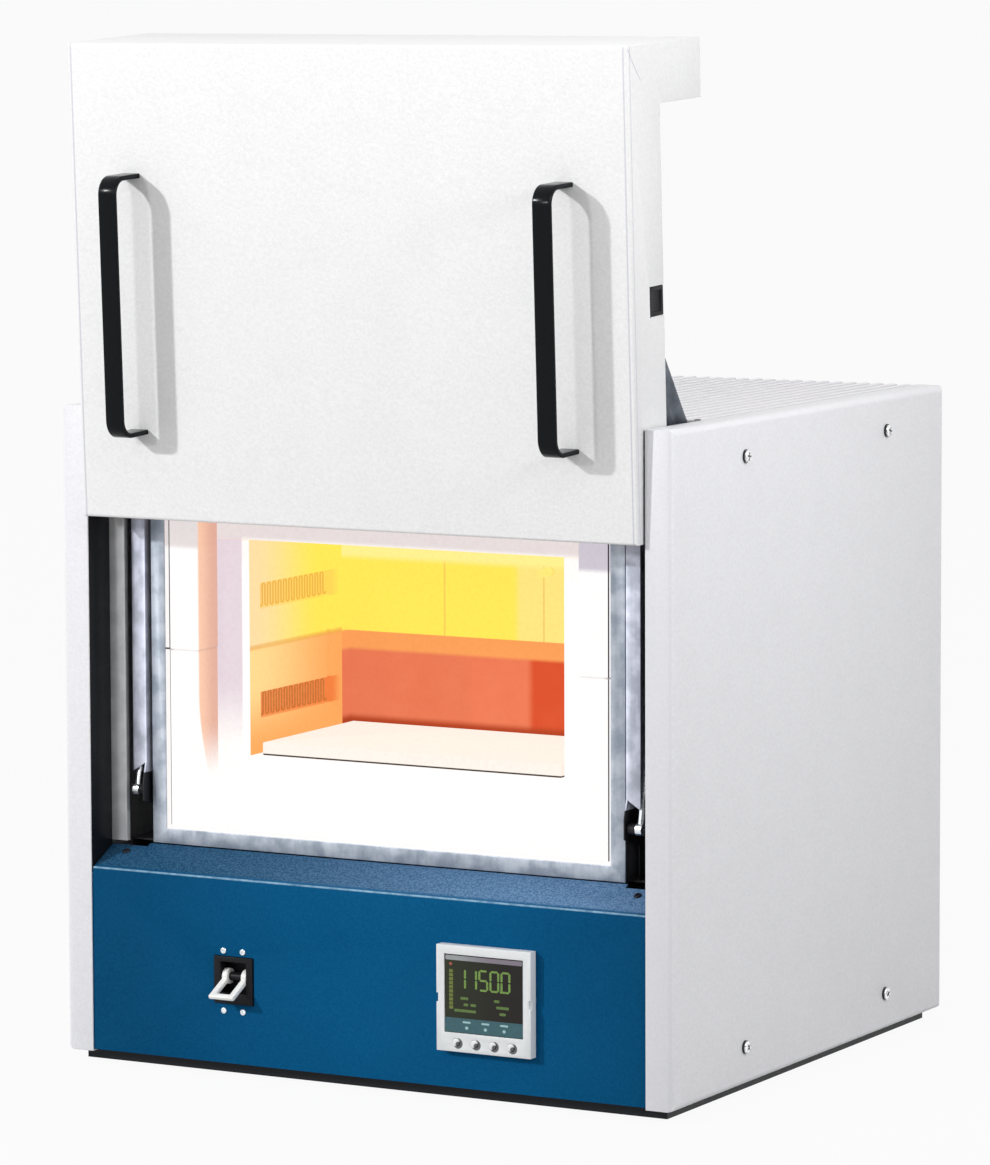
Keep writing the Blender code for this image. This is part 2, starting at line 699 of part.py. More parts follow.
def pivot_upright(label, side):
    """The upright beside the chamber that carries both arm pivots and the strut's lower pin."""
    rear = POCKET_DEPTH + UPRIGHT_DEPTH
    top = PANEL_TOP - UPRIGHT_TOP_DROP
    mitre = SHELF_TOP + MITRE_RISE
    lug = STRUT_FOOT.x - LUG_HALF
    web_path = [(POCKET_DEPTH, top), (POCKET_DEPTH, mitre), (lug, STRUT_FOOT.y + LUG_HALF),
                (lug, STRUT_FOOT.y - LUG_HALF), (SHELF_FRONT, STRUT_FOOT.y - 2 * LUG_HALF),
                (SHELF_FRONT, CASE_BASE), (rear, CASE_BASE), (rear, top)]
    web = prism(f"pivot_upright_{label}", web_path, "X", span(side, WEB_IN, WEB_OUT), CABINET)
    face_outline = [(side * WEB_IN, mitre), (side * UPRIGHT_OUT, mitre - MITRE_DROP),
                    (side * UPRIGHT_OUT, top), (side * WEB_IN, top)]
    face = prism(f"add_upright_face_{label}", face_outline, "Y", (POCKET_DEPTH, POCKET_DEPTH + SHEET),
                 CABINET)
    tools = [face]
    for index, pivot in enumerate((LIFT_PIVOT, GUIDE_PIVOT)):
        centre = tuple(pivot)
        tools.append(disc(f"add_shoulder_{label}_{index}", "X", centre, PIN_SHOULDER,
                          span(side, WEB_IN, ARM_IN - PIN_CLEARANCE), CABINET))
        tools.append(disc(f"add_journal_{label}_{index}", "X", centre, FRAME_PIN,
                          span(side, WEB_IN, PIN_END), CABINET))
        tools.append(disc(f"add_spacer_{label}_{index}", "X", centre, PIN_SHOULDER,
                          span(side, CASE_HALF + GAP, WEB_OUT), CABINET))
    foot = tuple(STRUT_FOOT)
    housing = STRUT_RADIUS / 2 + GAP
    tools.append(disc(f"add_ball_shoulder_{label}", "X", foot, BALL_HOUSING,
                      span(side, WEB_IN, STRUT_X - housing), CABINET, SMALL_SIDES))
    tools.append(disc(f"add_ball_pin_{label}", "X", foot, BALL_PIN,
                      span(side, WEB_IN, STRUT_X + housing + BALL_CAP), CABINET, SMALL_SIDES))
    finish(join(web, *tools), "frame_steel")


def inner_case():
    """The steel box that holds the refractory, open at the front, and the frame round its mouth."""
    case = block("inner_case", (-CASE_HALF, CASE_HALF), (CASE_FRONT, CASE_REAR), (CASE_BASE, CASE_TOP),
                 CABINET)
    hollow = block("cut_inner_case", (SHEET - CASE_HALF, CASE_HALF - SHEET),
                   (CASE_FRONT - OVERRUN, CASE_REAR - SHEET), (CASE_BASE + SHEET, CASE_TOP - SHEET),
                   CABINET)
    probe = disc("cut_case_probe", "Y", (PROBE_X, ROOF_BASE - PROBE_DROP), PROBE_BORE,
                 (CASE_REAR - OVERRUN, CASE_REAR + OVERRUN), CABINET, SMALL_SIDES)
    finish(cut(case, hollow, probe), "frame_steel")
    front = CASE_FRONT - GAP - SHEET
    frame = block("chamber_frame", (-CASE_HALF, CASE_HALF), (front, front + SHEET), (CASE_BASE, CASE_TOP),
                  CABINET)
    hole = block("cut_chamber_frame", (FRAME_SIDE - CASE_HALF, CASE_HALF - FRAME_SIDE),
                 (front - OVERRUN, front + OVERRUN), (CASE_BASE + FRAME_FOOT, CASE_TOP - FRAME_HEAD),
                 CABINET)
    finish(cut(frame, hole), "frame_steel")


def collars():
    """The two ceramic halves of the recess that the door's plug enters."""
    boss_half = CASE_HALF - FRAME_SIDE - BOSS_INSET
    boss_z = (CASE_BASE + FRAME_FOOT + BOSS_INSET, CASE_TOP - FRAME_HEAD - BOSS_INSET)
    floor = CASE_BASE + RECESS_FLOOR
    roof = CASE_TOP - RECESS_ROOF
    rear = COLLAR_REAR + OVERRUN
    front = COLLAR_FRONT - OVERRUN
    slope = RECESS_FLARE / FLARE_DEPTH
    mouth = [(front, floor), (rear, floor), (rear, roof), (COLLAR_FRONT + FLARE_DEPTH, roof),
             (front, roof + slope * (FLARE_DEPTH + OVERRUN))]
    for label, zs, boss_zs in (
            ("lower", (LINING_BASE, SEAM - GAP / 2), (boss_z[0], SEAM - GAP / 2)),
            ("upper", (SEAM + GAP / 2, LINING_TOP), (SEAM + GAP / 2, boss_z[1]))):
        ring = block(f"collar_{label}", (-LINING_HALF, LINING_HALF),
                     (COLLAR_FRONT + COLLAR_STEP, COLLAR_REAR),
                     zs, CABINET)
        boss = block(f"add_boss_{label}", (-boss_half, boss_half),
                     (COLLAR_FRONT, COLLAR_REAR - COLLAR_STEP),
                     boss_zs, CABINET)
        recess = prism(f"cut_recess_{label}", mouth, "X", (-RECESS_HALF, RECESS_HALF), CABINET)
        finish(cut(join(ring, boss), recess), "ceramic")


def groove_boxes(label, side, inset, near, far):
    """The two rows and the rear link of one wall's element, shrunk by an inset."""
    xs = span(side, near, far)
    made = []
    for row, rise in (("lower", LOWER_ELEMENT_RISE), ("upper", UPPER_ELEMENT_RISE)):
        middle = FLOOR_TOP + rise
        made.append(block(f"{label}_{row}", xs, (ELEMENT_FRONT + inset, ELEMENT_REAR - inset),
                          (middle - ELEMENT_HEIGHT / 2 + inset, middle + ELEMENT_HEIGHT / 2 - inset),
                          CABINET))
    made.append(block(f"{label}_link", xs, (ELEMENT_REAR - ELEMENT_LINK + inset, ELEMENT_REAR - inset),
                      (FLOOR_TOP + LOWER_ELEMENT_RISE, FLOOR_TOP + UPPER_ELEMENT_RISE), CABINET))
    return made


def lining():
    """Floor, roof, rear and side blocks round the chamber, with the elements and the hearth plate."""
    front = COLLAR_REAR + GAP
    full = (-LINING_HALF, LINING_HALF)
    wall_z = (FLOOR_TOP + GAP, ROOF_BASE - GAP)
    finish(block("chamber_floor", full, (front, LINING_REAR), (LINING_BASE, FLOOR_TOP), CABINET), "ceramic")
    finish(block("chamber_roof", full, (front, LINING_REAR), (ROOF_BASE, LINING_TOP), CABINET), "ceramic")
    rear = block("chamber_rear", full, (CHAMBER_REAR, LINING_REAR), wall_z, CABINET)
    recess = block("cut_rear_recess", (-CHAMBER_HALF, CHAMBER_HALF),
                   (CHAMBER_REAR - OVERRUN, CHAMBER_REAR + REAR_RECESS), (FLOOR_TOP - OVERRUN, SEAM),
                   CABINET)
    probe = disc("cut_rear_probe", "Y", (PROBE_X, ROOF_BASE - PROBE_DROP), PROBE_BORE,
                 (CHAMBER_REAR - OVERRUN, LINING_REAR + OVERRUN), CABINET, SMALL_SIDES)
    finish(cut(rear, recess, probe), "ceramic")
    for label, side in SIDES:
        wall = block(f"chamber_wall_{label}", span(side, CHAMBER_HALF, LINING_HALF),
                     (front, CHAMBER_REAR - GAP),
                     wall_z, CABINET)
        grooves = groove_boxes(f"cut_groove_{label}", side, 0, CHAMBER_HALF - OVERRUN,
                               CHAMBER_HALF + GROOVE_DEPTH)
        finish(cut(wall, *grooves), "ceramic")
        back = CHAMBER_HALF + GROOVE_DEPTH - GAP
        rows = groove_boxes(f"element_{label}", side, GAP, back - ELEMENT_THICK, back)
        element = join(rows[0], *rows[1:])
        element.name = f"element_{label}"
        finish(element, "element_wire")
    plate_half = CHAMBER_HALF - HEARTH_SIDE_GAP
    plate_rear = CHAMBER_REAR + REAR_RECESS - HEARTH_SIDE_GAP
    plate = block("hearth_plate", (-plate_half, plate_half), (HEARTH_FRONT, plate_rear),
                  (FLOOR_TOP + GAP, FLOOR_TOP + GAP + HEARTH_THICK), CABINET)
    finish(plate, "ceramic")


def thermocouple():
    """The probe through the rear lining, with its terminal head behind the case."""
    centre = (PROBE_X, ROOF_BASE - PROBE_DROP)
    head_front = CASE_REAR + GAP
    probe = disc("thermocouple", "Y", centre, PROBE_RADIUS,
                 (CHAMBER_REAR - PROBE_REACH, head_front + PROBE_HEAD),
                 CABINET, SMALL_SIDES)
    head = disc("add_probe_head", "Y", centre, PROBE_HEAD, (head_front, head_front + PROBE_HEAD_LENGTH),
                CABINET)
    finish(join(probe, head), "bright_steel")


def chassis():
    """The bridge that carries the inner case over the lower bay."""
    inside = PLINTH_FLOOR + GAP
    path = [(-SHELF_HALF, inside), (-SHELF_HALF, SHELF_TOP), (SHELF_HALF, SHELF_TOP), (SHELF_HALF, inside)]
    shelf = prism("chassis_shelf", sheet_outline(path, -SHEET), "Y",
                  (SHELF_FRONT + GAP, DEPTH - PLINTH_INSET - SHELF_REAR_GAP), CABINET)
    finish(shelf, "frame_steel")


def top_panel():
    """The ribbed lid behind the door bay, with a baffle folded down in front."""
    rib_half = OPEN_HALF - DOOR_SIDE_GAP
    pitch = 2 * rib_half / RIB_COUNT
    outline = [(-BEHIND_FLANGE, TOP_SHEET_BASE), (BEHIND_FLANGE, TOP_SHEET_BASE),
               (BEHIND_FLANGE, TOP_SHEET_TOP)]
    for index in reversed(range(RIB_COUNT)):
        middle = -rib_half + (index + 0.5) * pitch
        foot = RIB_FOOT_SHARE * pitch / 2
        crest = RIB_TOP_SHARE * pitch / 2
        rib_top = TOP_SHEET_TOP + RIB_HEIGHT
        outline += [(middle + foot, TOP_SHEET_TOP), (middle + crest, rib_top),
                    (middle - crest, rib_top), (middle - foot, TOP_SHEET_TOP)]
    outline.append((-BEHIND_FLANGE, TOP_SHEET_TOP))
    lid = prism("top_panel", outline, "Y", (TOP_FRONT, REAR_OUTER), CABINET)
    baffle_half = CASE_HALF
    baffle = block("add_baffle", (-baffle_half, baffle_half), (TOP_FRONT, TOP_FRONT + SHEET),
                   (CASE_TOP + GAP, TOP_SHEET_BASE + SHEET / 2), CABINET)
    finish(join(lid, baffle), "white_enamel")


def rear_panel():
    """The back cover with two columns of louvre slots and the hole for the cable gland."""
    panel = block("rear_panel", (-BEHIND_FLANGE, BEHIND_FLANGE), (REAR_INNER, REAR_OUTER),
                  (PANEL_BASE + SHEET + GAP, TOP_SHEET_BASE - GAP), CABINET)
    tools = []
    through = (REAR_INNER - OVERRUN, REAR_OUTER + OVERRUN)
    for side in (-1, 1):
        middle = side * LOUVRE_X
        for index in range(LOUVRE_COUNT):
            base = PANEL_BASE + LOUVRE_RISE + index * LOUVRE_PITCH
            tools.append(block(f"cut_louvre_{side}_{index}",
                               (middle - LOUVRE_LENGTH / 2, middle + LOUVRE_LENGTH / 2),
                               through, (base, base + LOUVRE_HEIGHT), CABINET))
    tools.append(disc("cut_gland", "Y", (GLAND_X, PANEL_BASE + GLAND_RISE), GLAND_THREAD + GAP, through,
                      CABINET))
    finish(cut(panel, *tools), "white_enamel")


def cable_gland():
    """The supply inlet: nut, dome and thread in one, bored for a cable."""
    centre = (GLAND_X, PANEL_BASE + GLAND_RISE)
    seat = REAR_OUTER + GAP
    nut_end = seat + GLAND_NUT_LENGTH
    nut = disc("cable_gland", "Y", centre, GLAND_NUT, (seat, nut_end), CABINET, 6)
    dome = disc("add_gland_dome", "Y", centre, GLAND_DOME, (nut_end - SHEET, nut_end + GLAND_DOME_LENGTH),
                CABINET)
    thread = disc("add_gland_thread", "Y", centre, GLAND_THREAD,
                  (seat - GLAND_THREAD_LENGTH, seat + SHEET), CABINET)
    bore = disc("cut_gland_bore", "Y", centre, GLAND_BORE,
                (seat - GLAND_THREAD_LENGTH - OVERRUN, nut_end + GLAND_DOME_LENGTH + OVERRUN), CABINET)
    finish(cut(join(nut, dome, thread), bore), "rubber")


def lower_bay():
    """The power relay on its finned heat sink, and the supply terminal block."""
    base = PLINTH_FLOOR + GAP
    width, length, height = RELAY_SIZE
    xs = (RELAY_X - width / 2, RELAY_X + width / 2)
    ys = (RELAY_MIDDLE - length / 2, RELAY_MIDDLE + length / 2)
    relay = block("power_relay", xs, ys, (base, base + height), CABINET)
    pitch = width / FIN_COUNT
    tools = []
    for index in range(FIN_COUNT):
        middle = xs[0] + (index + 0.5) * pitch
        half_slot = FIN_SLOT_SHARE * pitch / 2
        tools.append(block(f"cut_fin_{index}", (middle - half_slot, middle + half_slot),
                           (ys[0] - OVERRUN, ys[1] + OVERRUN),
                           (base + height - FIN_DEPTH, base + height + OVERRUN),
                           CABINET))
    finish(cut(relay, *tools), "bright_steel")
    width, length, height = TERMINAL_SIZE
    xs = (TERMINAL_X - width / 2, TERMINAL_X + width / 2)
    ys = (TERMINAL_MIDDLE - length / 2, TERMINAL_MIDDLE + length / 2)
    terminal = block("terminal_block", xs, ys, (base, base + height - TERMINAL_STEP), CABINET)
    ridge = block("add_terminal_ridge", xs, (ys[0] + TERMINAL_STEP, ys[1] - TERMINAL_STEP),
                  (base, base + height),
                  CABINET)
    finish(join(terminal, ridge), "breaker_black")


def door():
    """The door skin with its hood, the inner pan with the arm pins, the plug and two handles."""
    holder = make_frame("door_frame", LIFT_RAISED.x, LIFT_RAISED.y, DOOR_LEAN, CABINET)

    def local(outline):
        return [(back - PIN_SETBACK, up - PIN_RISE) for back, up in outline]

    def door_block(name, xs, backs, ups):
        (back_near, up_near), (back_far, up_far) = local([(backs[0], ups[0]), (backs[1], ups[1])])
        return block(name, xs, (back_near, back_far), (up_near, up_far), holder)

    def rounded_skin(name, half, back, ups, radius, outline, bottom_too):
        bm = prism_mesh(local(outline), "X", (-half, half))
        touch = GAP / 10
        face = back - PIN_SETBACK
        foot = ups[0] - PIN_RISE
        chosen = [edge for edge in bm.edges
                  if all(abs(vert.co.y - face) < touch for vert in edge.verts)
                  and (bottom_too or not all(abs(vert.co.z - foot) < touch for vert in edge.verts))]
        bmesh.ops.bevel(bm, geom=chosen, offset=radius, segments=ARC_STEPS, profile=0.5, affect="EDGES")
        return add_object(name, bm, holder)

    notch_top = NOTCH_BASE + NOTCH_HEIGHT
    notch_in = SIDE_FLANGE - NOTCH_DEPTH
    skirt = DOOR_HEIGHT - HOOD_SKIRT
    side_view = [(0, 0), (LOWER_FLANGE, 0), (LOWER_FLANGE, LOWER_CUT), (SIDE_FLANGE, LOWER_CUT),
                 (SIDE_FLANGE, NOTCH_BASE), (notch_in, NOTCH_BASE), (notch_in, notch_top),
                 (SIDE_FLANGE, notch_top), (SIDE_FLANGE, skirt), (HOOD_DEPTH, skirt),
                 (HOOD_DEPTH, DOOR_HEIGHT), (0, DOOR_HEIGHT)]
    shell = rounded_skin("door_shell", DOOR_HALF, 0, (0, DOOR_HEIGHT), DOOR_EDGE, side_view, True)
    inside = corners((SHEET, HOOD_DEPTH + OVERRUN), (SHEET, DOOR_HEIGHT - SHEET))
    hollow = rounded_skin("cut_door_shell", DOOR_HALF - SHEET, SHEET, (SHEET, DOOR_HEIGHT - SHEET),
                          DOOR_EDGE - SHEET, inside, True)
    finish(cut(shell, hollow), "white_enamel")

    pan_front = SHEET + GAP
    pan_half = CASE_HALF - GAP
    pan = door_block("door_pan", (-pan_half, pan_half), (pan_front, PAN_REAR), (PAN_BASE, PAN_TOP))
    pan_hollow = door_block("cut_door_pan", (PAN_SHEET - pan_half, pan_half - PAN_SHEET),
                            (pan_front + PAN_SHEET, PAN_REAR - PAN_SHEET),
                            (PAN_BASE + PAN_SHEET, PAN_TOP - PAN_SHEET))
    reveal = door_block("cut_pan_window", (-PLUG_HALF - PLUG_REVEAL, PLUG_HALF + PLUG_REVEAL),
                        (PAN_REAR - OVERRUN, PAN_REAR + OVERRUN),
                        (PLUG_BASE - PLUG_REVEAL, PLUG_TOP + PLUG_REVEAL))
    pins = []
    for label, side in SIDES:
        for row, drop in (("lift", 0), ("guide", PIN_SPACING)):
            pins.append(disc(f"add_{row}_pin_{label}", "X", (0, -drop), DOOR_PIN,
                             span(side, pan_half - PAN_SHEET, PIN_END), holder))
    finish(join(cut(pan, pan_hollow, reveal), *pins), "frame_steel")

    board_half = pan_half - PAN_SHEET - GAP
    board = door_block("door_insulation", (-board_half, board_half),
                       (pan_front + PAN_SHEET + GAP, PAN_REAR - PAN_SHEET - GAP),
                       (PAN_BASE + PAN_SHEET + GAP, PAN_TOP - PAN_SHEET - GAP))
    plug = door_block("add_plug", (-PLUG_HALF, PLUG_HALF), (PAN_REAR - OVERRUN, PLUG_REAR),
                      (PLUG_BASE, PLUG_TOP))
    finish(join(board, plug), "ceramic")

    for label, side in SIDES:
        middle = side * HANDLE_X
        handle = prism(f"handle_{label}", local(handle_outline()), "X",
                       (middle - HANDLE_WIDTH / 2, middle + HANDLE_WIDTH / 2), holder)
        handle.data.shade_smooth()
        handle.data.set_sharp_from_angle(angle=SHARP_ANGLE)
        finish(handle, "handle_black")


def link_outline(tip, root_radius, tip_radius):
    """A tapered link from the origin to its tip, rounded at both ends."""
    length = tip.length
    direction = math.atan2(tip.y, tip.x)
    lean = math.acos((root_radius - tip_radius) / length)
    outline = []
    for centre, radius, start in ((Vector((0, 0)), root_radius, direction + lean),
                                  (tip, tip_radius, direction - lean)):
        sweep = 2 * math.pi - 2 * lean if radius == root_radius else 2 * lean
        steps = ARC_STEPS * 3
        for step in range(steps + 1):
            turn = start + sweep * step / steps
            outline.append((centre.x + radius * math.cos(turn), centre.y + radius * math.sin(turn)))
    return outline


def arm(name, label, side, holder, tip, root_radius, slack):
    """One arm plate with a bore at each end, the outer one widened by the slack its pin needs."""
    plate = prism(f"{name}_{label}", link_outline(tip, root_radius, ARM_EYE), "X",
                  span(side, ARM_IN, ARM_OUT), holder)
    through = span(side, ARM_IN - OVERRUN, ARM_OUT + OVERRUN)
    root_bore = disc(f"cut_{name}_root_{label}", "X", (0, 0), FRAME_PIN + PIN_CLEARANCE, through, holder)
    tip_bore = disc(f"cut_{name}_tip_{label}", "X", tuple(tip + slack / 2),
                    DOOR_PIN + PIN_CLEARANCE + slack.length / 2, through, holder)
    return finish(cut(plate, root_bore, tip_bore), "dark_steel")


def arms():
    """Both pairs of parallel arms on their pivots."""
    lift_holder = make_frame("lift_arm_frame", LIFT_PIVOT.x, LIFT_PIVOT.y, 0, CABINET)
    guide_holder = make_frame("guide_arm_frame", GUIDE_PIVOT.x, GUIDE_PIVOT.y, 0, CABINET)
    for label, side in SIDES:
        arm("lift_arm", label, side, lift_holder, LIFT_RAISED - LIFT_PIVOT, ARM_ROOT, Vector((0, 0)))
        arm("guide_arm", label, side, guide_holder, GUIDE_RAISED - GUIDE_PIVOT, GUIDE_ROOT, GUIDE_SLACK)


def struts():
    """Gas struts, drawn upright in a frame that leans back with the rod."""
    holder = make_frame("strut_frame", STRUT_FOOT.x, STRUT_FOOT.y, -STRUT_LEAN, CABINET)
    housing = STRUT_RADIUS / 2
    cylinder_base = STRUT_SPAN - CYLINDER_LENGTH
    for label, side in SIDES:
        middle = side * STRUT_X
        rod = disc(f"strut_rod_{label}", "Z", (middle, 0), ROD_RADIUS,
                   (BALL_PIN + ROD_CLEARANCE * 2, ROD_LENGTH),
                   holder, SMALL_SIDES)
        socket = disc(f"add_socket_{label}", "X", (0, 0), BALL_HOUSING,
                      (middle - housing, middle + housing),
                      holder, SMALL_SIDES)
        pin_hole = disc(f"cut_socket_{label}", "X", (0, 0), BALL_PIN + ROD_CLEARANCE,
                        (middle - OVERRUN, middle + OVERRUN), holder, SMALL_SIDES)
        finish(cut(join(rod, socket), pin_hole), "bright_steel")
        cylinder = disc(f"strut_cylinder_{label}", "Z", (middle, 0), STRUT_RADIUS,
                        (cylinder_base, STRUT_SPAN - STRUT_EYE * 2), holder)
        bore = disc(f"cut_cylinder_{label}", "Z", (middle, 0), ROD_RADIUS + ROD_CLEARANCE,
                    (cylinder_base - OVERRUN, cylinder_base + CYLINDER_BORE_LENGTH), holder, SMALL_SIDES)
        eye_half = EYE_WIDTH_SHARE * STRUT_RADIUS
        eye = disc(f"add_eye_{label}", "X", (0, STRUT_SPAN), STRUT_EYE,
                   (middle - eye_half, middle + eye_half),
                   holder)
        neck = disc(f"add_neck_{label}", "Z", (middle, 0), NECK_SHARE * STRUT_RADIUS,
                    (STRUT_SPAN - STRUT_EYE * 3, STRUT_SPAN), holder, SMALL_SIDES)
        finish(join(cut(cylinder, bore), neck, eye), "dark_steel")


def build():
    """Builds every piece."""
    for label, side in SIDES:
        side_panel(label, side)
        pocket_sheets(label, side)
        pivot_upright(label, side)
    plinth()
    control_panel()
    controller()
    breaker()
    inner_case()
    collars()
    lining()
    thermocouple()
    chassis()
    top_panel()
    rear_panel()
    cable_gland()
    lower_bay()
    door()
    arms()
    struts()


build()
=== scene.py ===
import math

import bmesh
import bpy
from mathutils import Euler, Matrix, Vector


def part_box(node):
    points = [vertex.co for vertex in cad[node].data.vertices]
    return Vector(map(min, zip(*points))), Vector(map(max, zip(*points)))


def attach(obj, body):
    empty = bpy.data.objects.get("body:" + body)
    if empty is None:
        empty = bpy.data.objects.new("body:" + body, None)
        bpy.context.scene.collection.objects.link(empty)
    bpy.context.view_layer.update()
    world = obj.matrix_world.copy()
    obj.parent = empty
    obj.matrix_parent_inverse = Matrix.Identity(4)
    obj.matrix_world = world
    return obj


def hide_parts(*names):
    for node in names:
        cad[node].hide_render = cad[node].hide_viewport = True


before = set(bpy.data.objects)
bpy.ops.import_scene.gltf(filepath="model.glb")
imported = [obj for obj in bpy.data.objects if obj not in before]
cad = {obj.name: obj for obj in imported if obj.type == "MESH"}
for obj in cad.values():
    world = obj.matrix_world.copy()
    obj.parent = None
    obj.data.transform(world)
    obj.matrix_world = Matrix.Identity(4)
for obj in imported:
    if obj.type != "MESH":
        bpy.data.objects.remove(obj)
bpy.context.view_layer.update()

# The camera stands to the right of the furnace and a little above it, with a long lens. Its place and turn
# come from the corners of the cabinet and the door, whose sizes are known.
PHOTO_HEIGHT = 1165
FOCAL_LENGTH = 5710.0
AXIS_ABOVE_MIDDLE = 72.5
CAMERA_PLACE = (2.5648, -4.6533, 1.0403)
CAMERA_YAW, CAMERA_PITCH, CAMERA_ROLL = math.radians(28.915), math.radians(5.74), math.radians(-0.2)
lens = bpy.data.cameras.new("photo_camera")
lens.sensor_width = 36.0
lens.lens = FOCAL_LENGTH / PHOTO_HEIGHT * lens.sensor_width
lens.shift_y = -AXIS_ABOVE_MIDDLE / PHOTO_HEIGHT
lens.clip_end = 200.0
camera = bpy.data.objects.new("photo_camera", lens)
bpy.context.scene.collection.objects.link(camera)
level_aim = Euler((math.pi / 2 - CAMERA_PITCH, 0, CAMERA_YAW)).to_matrix()
aim = level_aim @ Matrix.Rotation(CAMERA_ROLL, 3, "Z")
camera.matrix_world = Matrix.Translation(CAMERA_PLACE) @ aim.to_4x4()
bpy.context.scene.camera = camera
bpy.context.scene.view_settings.view_transform = "Standard"


# The studio is a pale floor under an even white sky. A key lamp at the front left throws the handles'
# shadows to the right across the door, and a weaker one in front throws their faint second shadows. Two
# wider lamps light the side panel and the tops.
class Wire:
    """One output of a material's nodes. Operators add Math nodes, and node() adds any other kind."""

    def __init__(self, socket):
        self.socket = socket

    def node(self, kind, settings, sockets, output=0):
        """Adds a node with its settings, then gives its sockets their values or links."""
        tree = self.socket.id_data
        made = tree.nodes.new(kind)
        for name, value in settings.items():
            setattr(made, name, value)
        for name, value in sockets.items():
            if isinstance(value, Wire):
                tree.links.new(value.socket, made.inputs[name])
            else:
                made.inputs[name].default_value = value
        return Wire(made.outputs[output]) if made.outputs else None

    def maths(self, operation, first, second=0.0):
        return self.node("ShaderNodeMath", {"operation": operation}, {0: first, 1: second})

    def __add__(self, other):
        return self.maths("ADD", self, other)

    def __radd__(self, other):
        return self.maths("ADD", other, self)

    def __sub__(self, other):
        return self.maths("SUBTRACT", self, other)

    def __rsub__(self, other):
        return self.maths("SUBTRACT", other, self)

    def __mul__(self, other):
        return self.maths("MULTIPLY", self, other)

    def __rmul__(self, other):
        return self.maths("MULTIPLY", other, self)

    def __gt__(self, other):
        return self.maths("GREATER_THAN", self, other)

    def __abs__(self):
        return self.maths("ABSOLUTE", self)

    def clamped(self):
        """The value held between 0 and 1."""
        return self.node("ShaderNodeClamp", {}, {0: self})

    def slope(self, start, end):
        """0 below start, 1 above end, and a smooth rise between them."""
        return self.node("ShaderNodeMapRange", {"interpolation_type": "SMOOTHSTEP"},
                         {0: self, 1: start, 2: end})

    def blend(self, colour, other):
        """A mix of two colours by this value."""
        sides = [(*side, 1) if isinstance(side, tuple) else side for side in (colour, other)]
        return self.node("ShaderNodeMix", {"data_type": "RGBA"}, {0: self, 6: sides[0], 7: sides[1]}, 2)

    def noise(self, scale, detail=2.0, roughness=0.5):
        """Cloudy noise at these coordinates, with a scale in cells a metre."""
        return self.node("ShaderNodeTexNoise", {}, {"Vector": self, "Scale": scale, "Detail": detail,
                                                    "Roughness": roughness})

    def stretched(self, scale):
        """These coordinates drawn out or pressed together along each axis."""
        return self.node("ShaderNodeMapping", {}, {"Vector": self, "Scale": scale})

    def along(self, axis):
        """One of the three coordinates."""
        return self.node("ShaderNodeSeparateXYZ", {}, {0: self}, "XYZ".index(axis))


FLOOR_SPAN = 160.0
FLOOR_PALE = 0.44
SKY_LIGHT = 0.56
BACKGROUND_SHARE = 0.94
SEEN_BY = ("Is Camera Ray", "Is Glossy Ray", "Is Transmission Ray")
DOOR_FRONT = (0, -0.28, 0.73)


def background_rays(tree):
    """1 for the rays that see floor and sky as a white background, and 0 for the rest."""
    light_path = tree.nodes.new("ShaderNodeLightPath")
    camera_ray, glossy_ray, clear_ray = (Wire(light_path.outputs[ray]) for ray in SEEN_BY)
    return (camera_ray + glossy_ray + clear_ray).clamped()


def blank(name, add, scale=(1, 1, 1), **shape):
    """Adds a primitive with all else deselected, and sets its place, turn and scale in its mesh."""
    bpy.ops.object.select_all(action="DESELECT")
    add(**shape)
    piece = bpy.context.object
    piece.name = name
    piece.scale = scale
    bpy.ops.object.transform_apply(location=True, rotation=True, scale=True)
    return piece


floor = blank("studio_floor", bpy.ops.mesh.primitive_plane_add, size=FLOOR_SPAN)
paper = bpy.data.materials.new("floor_paper")
paper.use_nodes = True
paper.node_tree.nodes.clear()
seen = background_rays(paper.node_tree) * BACKGROUND_SHARE
matt = seen.node("ShaderNodeBsdfDiffuse", {}, {"Color": (FLOOR_PALE, FLOOR_PALE, FLOOR_PALE, 1)})
glow = seen.node("ShaderNodeEmission", {}, {"Strength": 1.0})
surface = seen.node("ShaderNodeMixShader", {}, {0: seen, 1: matt, 2: glow})
seen.node("ShaderNodeOutputMaterial", {}, {"Surface": surface})
floor.data.materials.append(paper)

sky = bpy.data.worlds.new("studio_sky")
bpy.context.scene.world = sky
sky.use_nodes = True
sky.node_tree.nodes.clear()
seen = background_rays(sky.node_tree)
lit = seen.node("ShaderNodeBackground", {}, {"Color": (1, 1, 1, 1), "Strength": SKY_LIGHT})
white = seen.node("ShaderNodeBackground", {}, {"Color": (1, 1, 1, 1), "Strength": 1.0})
surface = seen.node("ShaderNodeMixShader", {}, {0: seen, 1: lit, 2: white})
seen.node("ShaderNodeOutputWorld", {}, {"Surface": surface})

